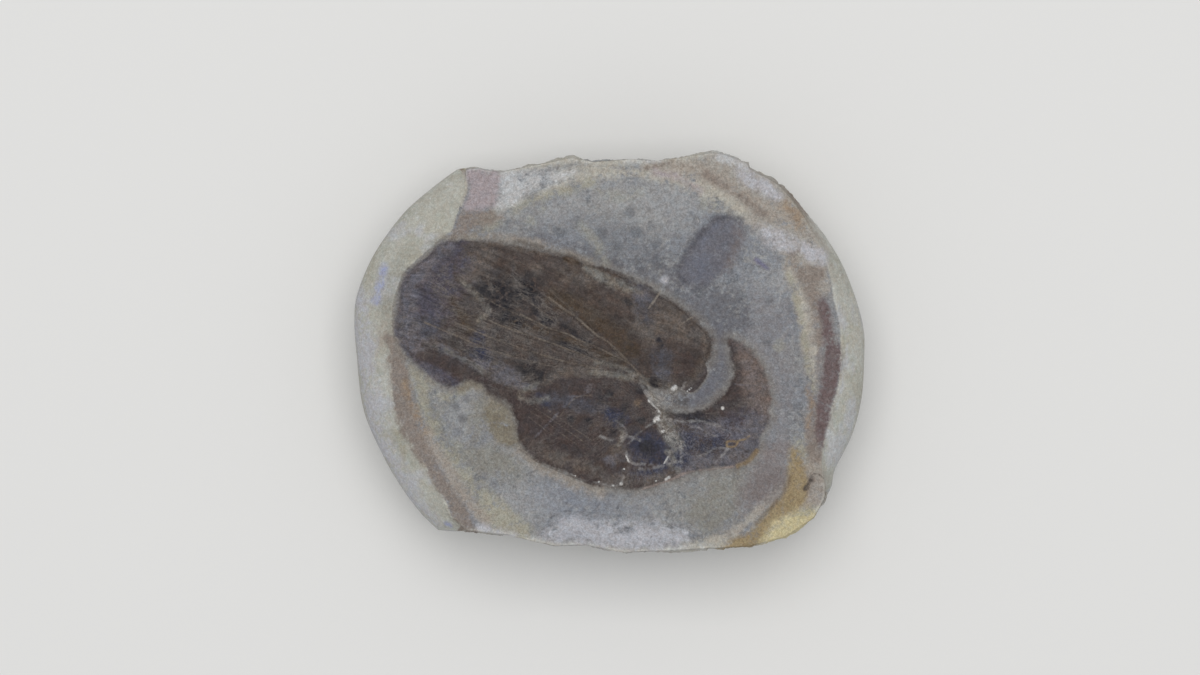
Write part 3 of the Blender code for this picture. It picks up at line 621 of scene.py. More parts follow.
        spots(0.14, 0.14, (623.6, 468.7), (656.4, 481.2), (613, 485.6), (599, 481.5), (666, 281),
            (628, 460), (667, 459)),
    ],
    "pink_line": [
        line(0.14, 0.2, (640, 490), (670, 480.4), (683, 473.7), (695.4, 471.2), (707.8, 469.6),
            (720.2, 468), (733, 466.5)),
    ],
    "ochre_line": [
        line(0.13, 0.14, (727, 446), (727, 442), (731, 441), (738, 441), (750, 437)),
        line(0.13, 0.14, (727, 447), (734, 447), (738, 442)),
        line(0.35, 0.35, (738, 466), (748, 461), (757, 451)),
    ],
}

# Colours of the markings, from the lowest layer up: (red, green, blue), how much it covers, and
# how far noise moves its edge.
STONE_LAYERS = {
    "pale_matrix": ((0.312, 0.306, 0.306), 0.75, 1.4),
    "cool_matrix": ((0.218, 0.226, 0.258), 0.60, 1.4),
    "dark_matrix": ((0.172, 0.174, 0.190), 0.52, 1.6),
    "violet_matrix": ((0.212, 0.200, 0.208), 0.70, 1.4),
    "warm_matrix": ((0.226, 0.211, 0.180), 0.75, 1.4),
    "dusky_matrix": ((0.128, 0.125, 0.138), 0.85, 1.7),
    "dark_mottle": ((0.122, 0.126, 0.138), 0.60, 1.9),
    "cream_mottle": ((0.310, 0.298, 0.258), 0.60, 1.9),
    "pink_matrix": ((0.205, 0.176, 0.172), 0.80, 1.2),
    "pale_pink": ((0.345, 0.310, 0.272), 0.92, 1.2),
    "cream": ((0.425, 0.392, 0.335), 0.88, 1.4),
    "stone_yellow": ((0.318, 0.294, 0.230), 0.80, 1.4),
    "stone_tan": ((0.325, 0.280, 0.240), 0.85, 1.2),
    "stone_ochre": ((0.196, 0.167, 0.122), 0.92, 1.2),
    "ring_brown": ((0.228, 0.188, 0.162), 0.92, 1.3),
    "stone_orange": ((0.278, 0.202, 0.138), 0.82, 1.1),
    "ring_purple": ((0.138, 0.098, 0.097), 0.97, 1.2),
    "ochre": ((0.284, 0.215, 0.124), 1.00, 0.9),
    # painted shadow of a chip's edge
    "chip_edge_shadow": ((0.150, 0.105, 0.062), 0.75, 1.0),
    "yellow": ((0.560, 0.480, 0.285), 1.00, 0.8),
    "white": ((0.480, 0.472, 0.470), 0.93, 1.4),
    "lilac_white": ((0.445, 0.436, 0.464), 0.84, 1.5),
    "pink": ((0.350, 0.296, 0.304), 0.95, 1.1),
    "skin_green": ((0.300, 0.290, 0.250), 0.70, 1.2),
    "blue": ((0.320, 0.340, 0.500), 0.90, 1.0),
    "stain": ((0.134, 0.130, 0.150), 0.95, 1.1),
    "stain_pink": ((0.172, 0.145, 0.140), 0.75, 1.2),
    "stain_blue": ((0.145, 0.150, 0.184), 0.60, 1.2),
    # painted shade round the stain and painted shadow below it
    "stain_shadow": ((0.082, 0.078, 0.090), 0.75, 1.2),
    "gap_film": ((0.130, 0.127, 0.144), 0.92, 1.4),
    "gap_brown": ((0.078, 0.068, 0.066), 0.85, 1.5),
    "violet_mark": ((0.150, 0.140, 0.215), 0.90, 0.9),
    "dark_mark": ((0.085, 0.070, 0.062), 0.90, 1.4),
}
FILM_LAYERS = {
    "film_brown": ((0.053, 0.037, 0.031), 0.90, 1.2),
    "film_tan": ((0.104, 0.085, 0.073), 0.88, 1.3),
    "film_violet": ((0.061, 0.054, 0.072), 0.90, 1.4),
    "film_pink": ((0.144, 0.112, 0.102), 0.92, 1.2),
    "film_slate": ((0.062, 0.060, 0.072), 0.85, 1.5),
    "film_grey": ((0.117, 0.108, 0.120), 0.88, 1.4),
    "film_blue": ((0.028, 0.031, 0.055), 0.95, 1.6),
    "film_red": ((0.048, 0.033, 0.031), 0.80, 1.4),
    "film_orange": ((0.050, 0.033, 0.020), 0.88, 1.4),
    "web": ((0.130, 0.119, 0.112), 0.85, 1.5),
    "film_pale": ((0.162, 0.148, 0.128), 0.85, 1.5),
    "film_dark": ((0.012, 0.011, 0.015), 0.95, 1.7),
    "spot_orange": ((0.125, 0.082, 0.052), 0.90, 1.4),
}
WEB_LAYERS = {
    "thin_web": ((0.188, 0.184, 0.214), 0.42, 1.2),
    "web": ((0.330, 0.306, 0.282), 0.80, 1.3),
}
LINE_LAYERS = {
    # painted shadow along the film's raised edges
    "edge_shadow": ((0.040, 0.028, 0.025), 0.50, 0.8),
    "vein_light": ((0.162, 0.132, 0.106), 0.80, 0.9),
    "tan_line": ((0.235, 0.200, 0.165), 0.80, 0.8),
    "lilac_line": ((0.165, 0.155, 0.175), 0.50, 1.6),
    "wisp": ((0.290, 0.272, 0.262), 0.54, 2.0),
    "mineral": ((0.520, 0.500, 0.480), 1.00, 0.8),
    "pink_line": ((0.240, 0.190, 0.168), 0.85, 1.0),
    "ochre_line": ((0.210, 0.150, 0.088), 0.90, 0.8),
}


# --- Curves and distances --------------------------------------------------------------------

def smooth_curve(points, closed, per_span=CURVE_STEPS):
    """Points along a Catmull-Rom curve that passes through the given points."""
    points = np.array(points, dtype=float)
    if closed:
        padded = np.vstack([points[-1:], points, points[:2]])
    else:
        padded = np.vstack([2 * points[0] - points[1], points, 2 * points[-1] - points[-2]])
    share = np.linspace(0.0, 1.0, per_span, endpoint=False)[:, None]
    spans = []
    for before, start, end, after in zip(padded, padded[1:], padded[2:], padded[3:]):
        bend = 2 * before - 5 * start + 4 * end - after
        twist = 3 * start - before - 3 * end + after
        spans.append(start + 0.5 * share * (end - before + share * (bend + share * twist)))
    curve = np.vstack(spans)
    return curve if closed else np.vstack([curve, points[-1:]])


def evenly_spaced(curve, spacing):
    """The curve again, as straight steps of about the given length."""
    steps = np.hypot(*np.diff(curve, axis=0).T)
    along = np.concatenate([[0.0], np.cumsum(steps)])
    count = max(2, round(along[-1] / spacing) + 1)
    places = np.linspace(0.0, along[-1], count)
    return np.column_stack([np.interp(places, along, curve[:, axis]) for axis in (0, 1)])


def distance_to(points, curve):
    """Distance from each point to the nearest place on a line of straight steps."""
    start, step = curve[:-1], np.diff(curve, axis=0)
    length_squared = np.maximum((step ** 2).sum(axis=1), 1e-12)
    distances = [np.zeros(0)]
    for first in range(0, len(points), CHUNK):
        offset = points[first:first + CHUNK, None, :] - start[None]
        share = np.clip((offset * step[None]).sum(axis=2) / length_squared, 0.0, 1.0)
        away = offset - share[..., None] * step[None]
        distances.append(np.sqrt((away ** 2).sum(axis=2).min(axis=1)))
    return np.concatenate(distances)


def is_inside(points, loop):
    """Whether each point is inside a closed loop, by counting the edges to its right."""
    ax, ay = loop[:, 0], loop[:, 1]
    bx, by = np.roll(ax, -1), np.roll(ay, -1)
    rise = np.where(by == ay, 1e-12, by - ay)
    inside = [np.zeros(0, dtype=bool)]
    for first in range(0, len(points), CHUNK):
        x, y = points[first:first + CHUNK, :1], points[first:first + CHUNK, 1:]
        spans = (ay > y) != (by > y)
        crossing = ax + (y - ay) * (bx - ax) / rise
        inside.append((spans & (x < crossing)).sum(axis=1) % 2 == 1)
    return np.concatenate(inside)


def near(points, curve, reach):
    """Which points are within reach of the box round a curve."""
    low, high = curve.min(axis=0) - reach, curve.max(axis=0) + reach
    return ((points >= low) & (points <= high)).all(axis=1)


def depth_inside(points, loop, reach=OUTSIDE):
    """Distance in from a loop's edge, negative outside it and never below minus the reach."""
    closed = np.vstack([loop, loop[:1]])
    close = near(points, loop, reach)
    depth = np.full(len(points), -reach)
    distance = distance_to(points[close], closed)
    depth[close] = np.where(is_inside(points[close], loop), distance, -distance)
    return np.maximum(depth, -reach)


def closeness(points, curve, reach):
    """Distance to a curve, or the reach where that is less."""
    distance = np.full(len(points), reach)
    close = near(points, curve, reach)
    distance[close] = np.minimum(distance_to(points[close], curve), reach)
    return distance


def ramp(value, start=0.0, end=1.0):
    """A smooth step from 0 to 1 as the value goes from start to end."""
    share = np.clip((value - start) / (end - start), 0.0, 1.0)
    return share * share * (3.0 - 2.0 * share)


def ridge(distance, half_width):
    """1 on a line, falling smoothly to 0 at about twice its half width."""
    return np.exp(-(distance / half_width) ** 2)


def lumps(points, size, octaves=3, seed=0.0):
    """Smooth noise of about -1 to 1 at each 3-D point, with lumps of about the given size."""
    shift = Vector((seed, 3.1 * seed, 5.7 * seed))
    values = [noise.fractal(Vector(point) / size + shift, 1.0, 2.0, octaves) for point in points]
    return np.clip(np.array(values) * LUMP_GAIN, -1.0, 1.0)


# --- The stone's outline ---------------------------------------------------------------------

def stone_outline():
    """The outline from above, scaled so that it is exactly LENGTH by WIDTH and centred."""
    runs = [
        smooth_curve(RIGHT_SKIN, closed=False), FAR_BREAK,
        smooth_curve(LEFT_SKIN, closed=False), NEAR_BREAK,
    ]
    loop = np.vstack(runs)
    low, high = loop.min(axis=0), loop.max(axis=0)
    return (loop - (low + high) / 2) * (LENGTH, WIDTH) / (high - low)


def radius_by_angle(loop, angles):
    """How far a loop is from the middle, at each angle."""
    closed = evenly_spaced(np.vstack([loop, loop[:1]]), 0.1)
    loop_angles = np.arctan2(closed[:, 1], closed[:, 0])
    order = np.argsort(loop_angles)
    radii = np.hypot(closed[:, 0], closed[:, 1])
    return np.interp(angles, loop_angles[order], radii[order], period=2 * math.pi)


def band_by_angle(angles):
    """How wide the skin shows between the outline and the split face's rim, at each angle."""
    band_angles, widths = np.array(SKIN_BAND, dtype=float).T
    return np.interp(np.degrees(angles) % 360.0, band_angles, widths, period=360.0)


# --- Height of the split face ----------------------------------------------------------------

def wing_depths(points):
    """How far inside the forewing, the hindwing and the flap each point is."""
    return [
        depth_inside(points, smooth_curve(outline, closed=True))
        for outline in (FOREWING, HINDWING, FLAP)
    ]


def forewing_fan(points):
    """Which span between main veins each point is in, counted from the front edge, and its width.

    The whole part is the span's number, and the rest is how far across the span it is.
    """
    loop = smooth_curve(FOREWING, closed=True)
    back_from = FOREWING_BACK_FROM * CURVE_STEPS
    front_edge = loop[CURVE_STEPS:back_from]
    back_edge = np.vstack([loop[back_from:], loop[:CURVE_STEPS]])
    veins = [smooth_curve(vein, closed=False) for vein in FOREWING_VEINS]
    heights = []
    for curve in [front_edge, *veins, back_edge]:
        order = np.argsort(curve[:, 0])
        heights.append(np.interp(points[:, 0], curve[order, 0], curve[order, 1]))
    heights = np.minimum.accumulate(np.array(heights), axis=0)
    fan = np.zeros(len(points))
    width = np.full(len(points), SPAN_WIDTH)
    for span, (upper, lower) in enumerate(zip(heights, heights[1:])):
        within = (points[:, 1] <= upper) & (points[:, 1] > lower)
        across = np.maximum(upper - lower, 1e-6)
        fan[within] = span + ((upper - points[:, 1]) / across)[within]
        width[within] = across[within]
    return fan, width


def hindwing_fan(points):
    """Distance from the hindwing's root, and the turn round it."""
    offset = points - np.array(HINDWING_ROOT)
    return np.hypot(*offset.T), np.arctan2(offset[:, 1], -offset[:, 0]) % (2 * math.pi)


def small_veins(points, on_fore, on_hind):
    """Height of the small veins between the main ones."""
    fan, width = forewing_fan(points)
    turns = fan * SMALL_VEINS_PER_SPAN
    across = np.abs(turns - np.round(turns)) * width / SMALL_VEINS_PER_SPAN
    relief = ridge(across, SMALL_VEIN_HALF_WIDTH) * on_fore * ramp(width, *SMALL_VEIN_SPANS)
    distance, turn = hindwing_fan(points)
    turns = turn / HINDWING_SMALL_VEIN_TURN
    across = np.abs(turns - np.round(turns)) * HINDWING_SMALL_VEIN_TURN * distance
    shown = on_hind * (1 - on_fore) * ramp(distance, *SMALL_VEIN_START)
    return SMALL_VEIN_HEIGHT * (relief + ridge(across, SMALL_VEIN_HALF_WIDTH) * shown)


def dome(depth, height, reach):
    """A rounded rise from a wing's edge in to the given reach."""
    return height * (1 - (1 - np.clip(depth / reach, 0, 1)) ** 2)


def insect_relief(points):
    """Height of the wings above the matrix at each point."""
    fore, hind, flap = wing_depths(points)
    on_film, on_fore, on_hind = (
        ramp(depth / LEDGE_RUN) for depth in (np.maximum.reduce([fore, hind, flap]), fore, hind)
    )
    relief = FILM_LEDGE * on_film + FOREWING_LEDGE * on_fore
    relief += dome(fore, FOREWING_DOME, FOREWING_DOME_REACH)
    relief += dome(hind, HINDWING_DOME, HINDWING_DOME_REACH) * (1 - on_fore)
    for veins, on_wing in ((FOREWING_VEINS, on_fore), (HINDWING_VEINS, on_hind)):
        for vein in veins:
            distance = closeness(points, smooth_curve(vein, closed=False), VEIN_REACH)
            relief += VEIN_HEIGHT * ridge(distance, VEIN_HALF_WIDTH) * on_wing
    return relief + small_veins(points, on_fore, on_hind)


def chip_drop(points):
    """How far the flakes broken off the rim lower the split face at each point."""
    drop = np.zeros(len(points))
    for start_line, slope in CHIPS:
        start_line = smooth_curve(start_line, closed=False, per_span=4)
        flake = np.vstack([start_line, FLAKE_REACH * start_line[::-1]])
        fall = math.tan(math.radians(slope)) * distance_to(points, start_line)
        drop = np.maximum(drop, np.where(is_inside(points, flake), fall, 0.0))
    return drop


def depth_in_mark(points, kind, half_width, softness, places):
    """How far inside one area, line or set of spots each point is, negative outside it."""
    if kind == "spots":
        return half_width - np.min([np.hypot(*(points - place).T) for place in places], axis=0)
    curve = smooth_curve(places, kind == "area", MARKING_CURVE_STEPS)
    if kind == "area":
        return depth_inside(points, curve, softness)
    return half_width - closeness(points, curve, half_width + softness)


def marking_depth(points, name):
    """How far inside a marking each point is: 1 well inside, 0.5 on its edge, 0 outside."""
    result = np.zeros(len(points))
    for kind, half_width, softness, places in MARKINGS[name]:
        depth = depth_in_mark(points, kind, half_width, softness, places)
        result = np.maximum(result, 0.5 + 0.5 * np.clip(depth / softness, -1.0, 1.0))
    return result


def face_height(points, outline):
    """Height of the split face at each point."""
    angles = np.arctan2(points[:, 1], points[:, 0])
    rim = radius_by_angle(outline, angles) - band_by_angle(angles)
    share_out = np.hypot(points[:, 0], points[:, 1]) / rim
    flat_points = np.column_stack([points, np.zeros(len(points))])
    swell = FACE_SWELL[0] * lumps(flat_points, FACE_SWELL[1], octaves=2, seed=4.0)
    grit = FACE_GRIT[0] * lumps(flat_points, FACE_GRIT[1], octaves=2, seed=9.0)
    fine = FINE_GRIT[0] * lumps(flat_points, FINE_GRIT[1], octaves=3, seed=12.0)
    relief = insect_relief(points)
    smoother = ramp(relief / FILM_LEDGE)
    height = FACE_HEIGHT + swell + relief
    height += grit * (1 - SMOOTHED_GRIT * smoother) + fine * (1 - SMOOTHED_FINE_GRIT * smoother)
    for name, amount in STAND.items():
        height += amount * ramp(marking_depth(points, name))
    for name, amount in SINK.items():
        height -= amount * ramp(marking_depth(points, name))
    return height - RIM_WEAR * ramp(share_out, RIM_WEAR_START) - chip_drop(points)


# --- The sides and the underside -------------------------------------------------------------

def underside_height(turn):
    """Height of the round underside, a turn below the widest row."""
    return EQUATOR_HEIGHT - UNDERSIDE_DEPTH * np.sin(turn)


def underside_radius(natural, turn):
    """How far out the round underside is, a turn below the widest row."""
    evened = ramp(turn, EVEN_FROM, EVEN_FROM + LEAST_FOOT)
    return (natural + (UNDERSIDE_RADIUS - natural) * evened) * np.cos(turn)


def rim_to_widest(radius, band, rim_heights):
    """Radii and heights of rows from the split face's rim out to the widest row."""
    rim_share = 1 - band / radius
    rise = (rim_heights - EQUATOR_HEIGHT) / np.sqrt(1 - rim_share ** 2)
    for step in range(SKIN_ROWS + 1):
        share = rim_share + (1 - rim_share) * math.sin(step / SKIN_ROWS * math.pi / 2)
        yield radius * share, EQUATOR_HEIGHT + rise * np.sqrt(1 - share ** 2)


def break_foot(radius, natural, is_broken, angles):
    """The turn below the widest row where a broken wall meets the round underside."""
    lean = BROKEN_LEAN * UNDERSIDE_DEPTH
    foot = np.arctan2(lean, natural) + np.arccos(radius / np.hypot(natural, lean))
    places = np.column_stack([np.cos(angles) * radius, np.sin(angles) * radius, angles])
    foot += FOOT_WANDER * is_broken * lumps(places, FOOT_LUMP)
    return np.clip(foot, LEAST_FOOT, FLAT_TURN - LEAST_FOOT / 3)


def widest_to_flat(radius, natural, is_broken, foot):
    """Radii and heights of rows down the broken wall or the skin, then in to the flat."""
    for step in range(1, WALL_ROWS + 1):
        turn = foot * step / WALL_ROWS
        wall = radius + (underside_radius(natural, foot) - radius) * np.sin(turn) / np.sin(foot)
        side = wall * is_broken + underside_radius(natural, turn) * (1 - is_broken)
        yield np.minimum(radius, side), underside_height(turn)
    for step in range(1, UNDER_ROWS + 1):
        turn = foot + (FLAT_TURN - foot) * step / UNDER_ROWS
        height = underside_height(turn) if step < UNDER_ROWS else np.zeros(len(turn))
        yield underside_radius(natural, turn), height


def push_in(rows, is_broken, foot_row):
    """How far in lumps, grit and hackles push each point of the rows."""
    skin, skin_grit, broken = (
        np.array([0.5 + 0.5 * lumps(row, size, seed=seed) for row in rows])
        for size, seed in ((SKIN_LUMPS[1], 2.0), (SKIN_GRIT[1], 3.0), (BREAK_LUMPS[1], 6.0))
    )
    squash = (1, 1, HACKLE_SQUASH)
    hackle = np.array([np.abs(lumps(row * squash, BREAK_HACKLE[1], seed=7.0)) for row in rows])
    broken -= broken[1:foot_row].min(axis=0)
    for index in range(len(rows)):
        skin_share = min(1.0, 2.0 * abs(index - SKIN_ROWS) / SKIN_ROWS) if index else 0.0
        wall_share = 1.0 if 0 < index < foot_row else 0.0
        on_skin = skin_share * (1 - is_broken * wall_share)
        smooth = (SKIN_LUMPS[0] * skin[index] + SKIN_GRIT[0] * skin_grit[index]) * on_skin
        rough = BREAK_LUMPS[0] * broken[index] + BREAK_HACKLE[0] * hackle[index]
        yield smooth + rough * is_broken * wall_share


def side_rows(outline, rim_heights, angles):
    """Rows of points from below the split face's rim down to the flat, and how deep they lie.

    On the rounded sides they follow the natural skin all the way. On the broken ends they go
    down a rough wall first, and meet the round underside at that wall's foot. The depth is how
    far below the natural skin a point of a broken wall lay before the stone broke.
    """
    directions = np.column_stack([np.cos(angles), np.sin(angles)])
    radius = radius_by_angle(outline, angles)
    band = band_by_angle(angles)
    natural = np.maximum(radius, UNDERSIDE_RADIUS)
    is_broken = 1 - ramp(band, *BREAK_BAND)
    foot = break_foot(radius, natural, is_broken, angles)
    profile = [
        *rim_to_widest(radius, band, rim_heights),
        *widest_to_flat(radius, natural, is_broken, foot),
    ]
    rows = [np.column_stack([directions * out[:, None], height]) for out, height in profile]
    foot_row = SKIN_ROWS + WALL_ROWS
    depths = []
    for index, pushed_in in enumerate(list(push_in(rows, is_broken, foot_row))):
        row = rows[index]
        row[:, :2] -= directions * pushed_in[:, None]
        turn = np.arcsin(np.clip((EQUATOR_HEIGHT - row[:, 2]) / UNDERSIDE_DEPTH, -1.0, 1.0))
        below_skin = natural * np.cos(turn) - np.hypot(row[:, 0], row[:, 1])
        depths.append(np.maximum(below_skin, 0.0) * is_broken * (index <= foot_row))
    return rows[1:], np.array(depths[1:])


# --- The mesh --------------------------------------------------------------------------------

def disc_places():
    """Share of the way out and angle of each point of a disc, its middle first."""
    shares, angles = [np.zeros(1)], [np.zeros(1)]
    for ring in range(1, FACE_RINGS + 1):
        shares.append(np.full(6 * ring, ring / FACE_RINGS))
        angles.append(-math.pi + 2 * math.pi * np.arange(6 * ring) / (6 * ring))
    return np.concatenate(shares), np.concatenate(angles)


def disc_triangles():
    """Triangles between each ring of the disc and the next one in, in six equal sectors."""
    triangles = []
    for ring in range(1, FACE_RINGS + 1):
        outer_first = 1 + 3 * ring * (ring - 1)
        inner_first = 1 + 3 * (ring - 1) * (ring - 2) if ring > 1 else 0
        inner_count = max(1, 6 * (ring - 1))
        for sector in range(6):
            for step in range(ring):
                outer = outer_first + sector * ring + step
                after = outer_first + (sector * ring + step + 1) % (6 * ring)
                inner = inner_first + (sector * (ring - 1) + step) % inner_count
                triangles.append((outer, after, inner))
                if step < ring - 1:
                    inner_after = inner_first + (sector * (ring - 1) + step + 1) % inner_count
                    triangles.append((inner, after, inner_after))
    return triangles


def side_triangles(ring_firsts, around, bottom):
    """Triangles between each ring and the next one down, and from the last one to the bottom."""
    triangles = []
    for upper, lower in zip(ring_firsts, ring_firsts[1:]):
        for step in range(around):
            after = (step + 1) % around
            triangles.append((upper + step, lower + step, lower + after))
            triangles.append((upper + step, lower + after, upper + after))
    for step in range(around):
        after = (step + 1) % around
        triangles.append((ring_firsts[-1] + after, ring_firsts[-1] + step, bottom))
    return triangles


def build_points():
    """All the stone's points, its triangles, and what each point's material has to know."""
    outline = stone_outline()
    shares, angles = disc_places()
    rim_radius = radius_by_angle(outline, angles) - band_by_angle(angles)
    face = np.column_stack([np.cos(angles), np.sin(angles)]) * (rim_radius * shares)[:, None]
    heights = face_height(face, outline)
    around = 6 * FACE_RINGS
    rows, depths = side_rows(outline, heights[-around:], angles[-around:])

    points = np.vstack([np.column_stack([face, heights]), *rows, [(0.0, 0.0, 0.0)]])
    ring_firsts = [len(face) - around + row * around for row in range(len(rows) + 1)]
    triangles = disc_triangles() + side_triangles(ring_firsts, around, len(points) - 1)
    on_face = np.zeros(len(points))
    on_face[:len(face)] = np.minimum(1.0, (1 - shares) * FACE_RINGS / RINGS_OF_RIM)
    below_skin = np.zeros(len(points))
    below_skin[len(face):-1] = depths.ravel()
    return points, triangles, on_face, below_skin


def edge_highlight_distance(points):
    """How far each point is from the broken ends' top edge, where a painted highlight lightens the steep
    wall against its shade.
    """
    angles = np.arctan2(points[:, 1], points[:, 0])
    radius = radius_by_angle(stone_outline(), angles)
    from_edge = np.abs(radius - np.hypot(points[:, 0], points[:, 1]))
    below_edge = np.maximum(0.0, EDGE_HIGHLIGHT_HEIGHT - points[:, 2])
    is_skin = ramp(band_by_angle(angles), *BREAK_BAND)
    return from_edge + EDGE_HIGHLIGHT_FADE * below_edge + EDGE_HIGHLIGHT_END * is_skin


def add_values(mesh, name, values):
    """Stores one number, or one row of three, for each point of the mesh."""
    kind = "FLOAT" if values.ndim == 1 else "FLOAT_VECTOR"
    attribute = mesh.attributes.new(name, kind, "POINT")
    attribute.data.foreach_set("value" if values.ndim == 1 else "vector", values.ravel())


def add_stone(low, high):
    """The stone, kept inside the box of the CAD solid, in metres."""
    points, triangles, on_face, below_skin = build_points()
    mesh = bpy.data.meshes.new("nodule_stone")
    mesh.from_pydata(np.clip(points * MM, low, high).tolist(), [], triangles)
    mesh.shade_smooth()

    flat = points[:, :2]
    add_values(mesh, "on_face", on_face)
    add_values(mesh, "below_skin", below_skin)
    # distance from the painted highlight along the broken ends' top edge
    add_values(mesh, "rim", edge_highlight_distance(points))
    for name, depth in zip(("fore", "hind", "flap"), wing_depths(flat)):
        add_values(mesh, name, np.where(on_face > 0, depth, -OUTSIDE))
    fan, _width = forewing_fan(flat)
    along = np.hypot(*(flat - np.array(FOREWING_ROOT)).T)
    add_values(mesh, "fore_place", np.column_stack([along, fan * SPAN_WIDTH, 0 * fan]))
    distance, turn = hindwing_fan(flat)
    add_values(mesh, "hind_place", np.column_stack([distance, turn * FAN_RADIUS, 0 * turn]))
    near_top = ramp(points[:, 2], *MARKED_HEIGHTS)
    for name in MARKINGS:
        add_values(mesh, name, marking_depth(flat, name) * near_top)

    stone = bpy.data.objects.new("nodule_stone", mesh)
    bpy.context.collection.objects.link(stone)
    mesh.materials.append(stone_material())
    return stone


# --- Material --------------------------------------------------------------------------------

# Blotches of one colour over another: the colour, its noise as (size in millimetres, detail,
# roughness, distortion), the noise where a blotch starts and where it is full, and its cover.
BLOTCHES = {
    "matrix_broad": ((0.250, 0.243, 0.237), (9.0, 3.0, 0.55, 0.0), (0.36, 0.64), 1.00),
    "matrix_dark": ((0.125, 0.130, 0.142), (1.5, 5.0, 0.70, 0.8), (0.50, 0.36), 0.85),
    "matrix_pale": ((0.335, 0.325, 0.312), (1.8, 5.0, 0.72, 1.0), (0.52, 0.66), 0.70),
    "skin_broad": ((0.460, 0.448, 0.406), (9.0, 3.0, 0.55, 0.0), (0.38, 0.62), 1.00),
    "skin_stain": ((0.400, 0.362, 0.280), (5.0, 4.0, 0.60, 0.4), (0.54, 0.70), 0.50),
    "skin_green": ((0.350, 0.350, 0.300), (3.4, 4.0, 0.60, 0.6), (0.52, 0.66), 0.55),
    "skin_lilac": ((0.445, 0.443, 0.470), (6.0, 3.0, 0.55, 0.0), (0.46, 0.34), 0.60),
    "skin_flecks": ((0.520, 0.510, 0.485), (1.1, 4.0, 0.70, 0.0), (0.56, 0.70), 0.70),
}
# Patches of other kinds: their noise, where it starts and is full, and the mask's values there.
PATCHES = {
    "marked": ((0.9, 4.0, 0.65, 0.6), (0.30, 0.52), (0.72, 1.00)),
    "clusters": ((5.0, 3.0, 0.55, 0.0), (0.38, 0.58), (0.30, 1.00)),
    "reddish": ((2.6, 4.0, 0.65, 0.8), (0.40, 0.60), (0.00, 1.00)),
    "warm": ((1.6, 3.0, 0.60, 0.5), (0.38, 0.62), (0.00, 1.00)),
    "cloud": ((0.5, 3.0, 0.65, 0.4), (0.56, 0.50), (0.00, 0.66)),
    "hairy": ((4.0, 2.0, 0.55, 0.0), (0.38, 0.60), (0.10, 0.60)),
    "cool": ((0.7, 3.0, 0.55, 0.0), (0.35, 0.65), (0.00, 1.00)),
    "gloss": ((0.9, 3.0, 0.55, 0.0), (0.30, 0.70), (-0.06, 0.06)),
}
# Other noises, each as (size, detail, roughness, distortion).
COARSE_WANDER = (2.2, 4.0, 0.6, 0.0)
FINE_WANDER = (0.5, 3.0, 0.6, 0.0)
FINE_WANDER_SHARE = 0.6
GRAIN = (0.30, 3.0, 0.70, 0.5)
SPECKS = (0.7, 4.0, 0.68, 0.6)
FILM_STREAKS = (0.9, 4.0, 0.65, 0.5)
FILM_STREAK_RANGE = (0.30, 0.70)
FILM_MOTTLE = (1.1, 5.0, 0.72, 0.6)
FILM_GRAIN = (0.26, 2.0, 0.55, 0.0)
# Thin winding lines, each as (size, half width in noise, detail, distortion).
FIBRE_ROUGHNESS = 0.6
FILM_VEINS = (1.0, 0.06, 3.0, 0.8)
FILM_HAIRS = (1.0, 0.06, 4.0, 1.2)
THREADS = (0.8, 0.10, 2.0, 2.2)
LONG_WISPS = (3.0, 0.024, 2.0, 2.2)
SHORT_WISPS = (1.6, 0.024, 2.0, 1.6)
CELL_SIZE = 0.75                    # of the film's dark cells
CELL_EDGE = (0.58, 0.36)            # where a cell starts and is full, in sizes from its middle

MATRIX = (0.218, 0.221, 0.238)
SKIN = (0.405, 0.388, 0.334)
# Painted highlight: lightens the top of the broken ends' steep walls, which get little light from above.
EDGE_HIGHLIGHT = (0.580, 0.565, 0.530)
WALL_BROWN = (0.245, 0.202, 0.168)
WALL_YELLOW = (0.330, 0.300, 0.215)
WALL_BROWN_FROM = (0.25, 0.60)      # depths below the skin where a ring starts, and is full
WALL_YELLOW_FROM = (1.3, 1.9)
WALL_MATRIX_FROM = (2.4, 3.6)
WALL_WANDER = (4.0, 4.0, 0.6, 0.0)  # the noise that bends the rings
WALL_WANDER_SHARE = 2.0             # how far it bends them
HALO = (0.196, 0.172, 0.146)        # the matrix next to the film
HIND_FILM = ((0.045, 0.035, 0.035), (0.050, 0.034, 0.031))    # plain, and reddish
FORE_FILM = ((0.052, 0.043, 0.041), (0.056, 0.041, 0.035))
COOL_FILM_TINT = (0.96, 1.00, 1.06)
WARM_FILM_TINT = (1.05, 0.99, 0.94)
FILM_CELL = (0.006, 0.006, 0.010)
FILM_HAIR = (0.168, 0.146, 0.130)
COOL_TINT = (0.94, 1.00, 1.04)
STREAK_STRETCH = (0.22, 2.0, 1.0)   # along a wing's fan, across it, and up
VEIN_STRETCH = (0.18, 1.2, 1.0)

# Depths in millimetres where an edge starts and where it is full.
FACE_EDGE = (0.2, 0.7)              # in rings of the mesh, as a share of RINGS_OF_RIM
EDGE_HIGHLIGHT_AWAY = (1.7, 0.2)         # away from the broken ends' edge
HALO_EDGE = (-1.6, 0.0)
FILM_EDGE = (-0.35, 0.45)
FILM_TIP_DEPTH = (4.6, -2.9)        # a film tip's marking times the first plus the second
FOREWING_EDGE = (-0.1, 0.1)
MARKING_EDGE = 0.38                 # half a marking's edge, where its depth goes from 0 to 1
LINE_EDGE = 0.30
EDGE_WANDER = 1.2                   # how far noise moves the film's edge and the painted edge highlight
FACE_WANDER = 0.6

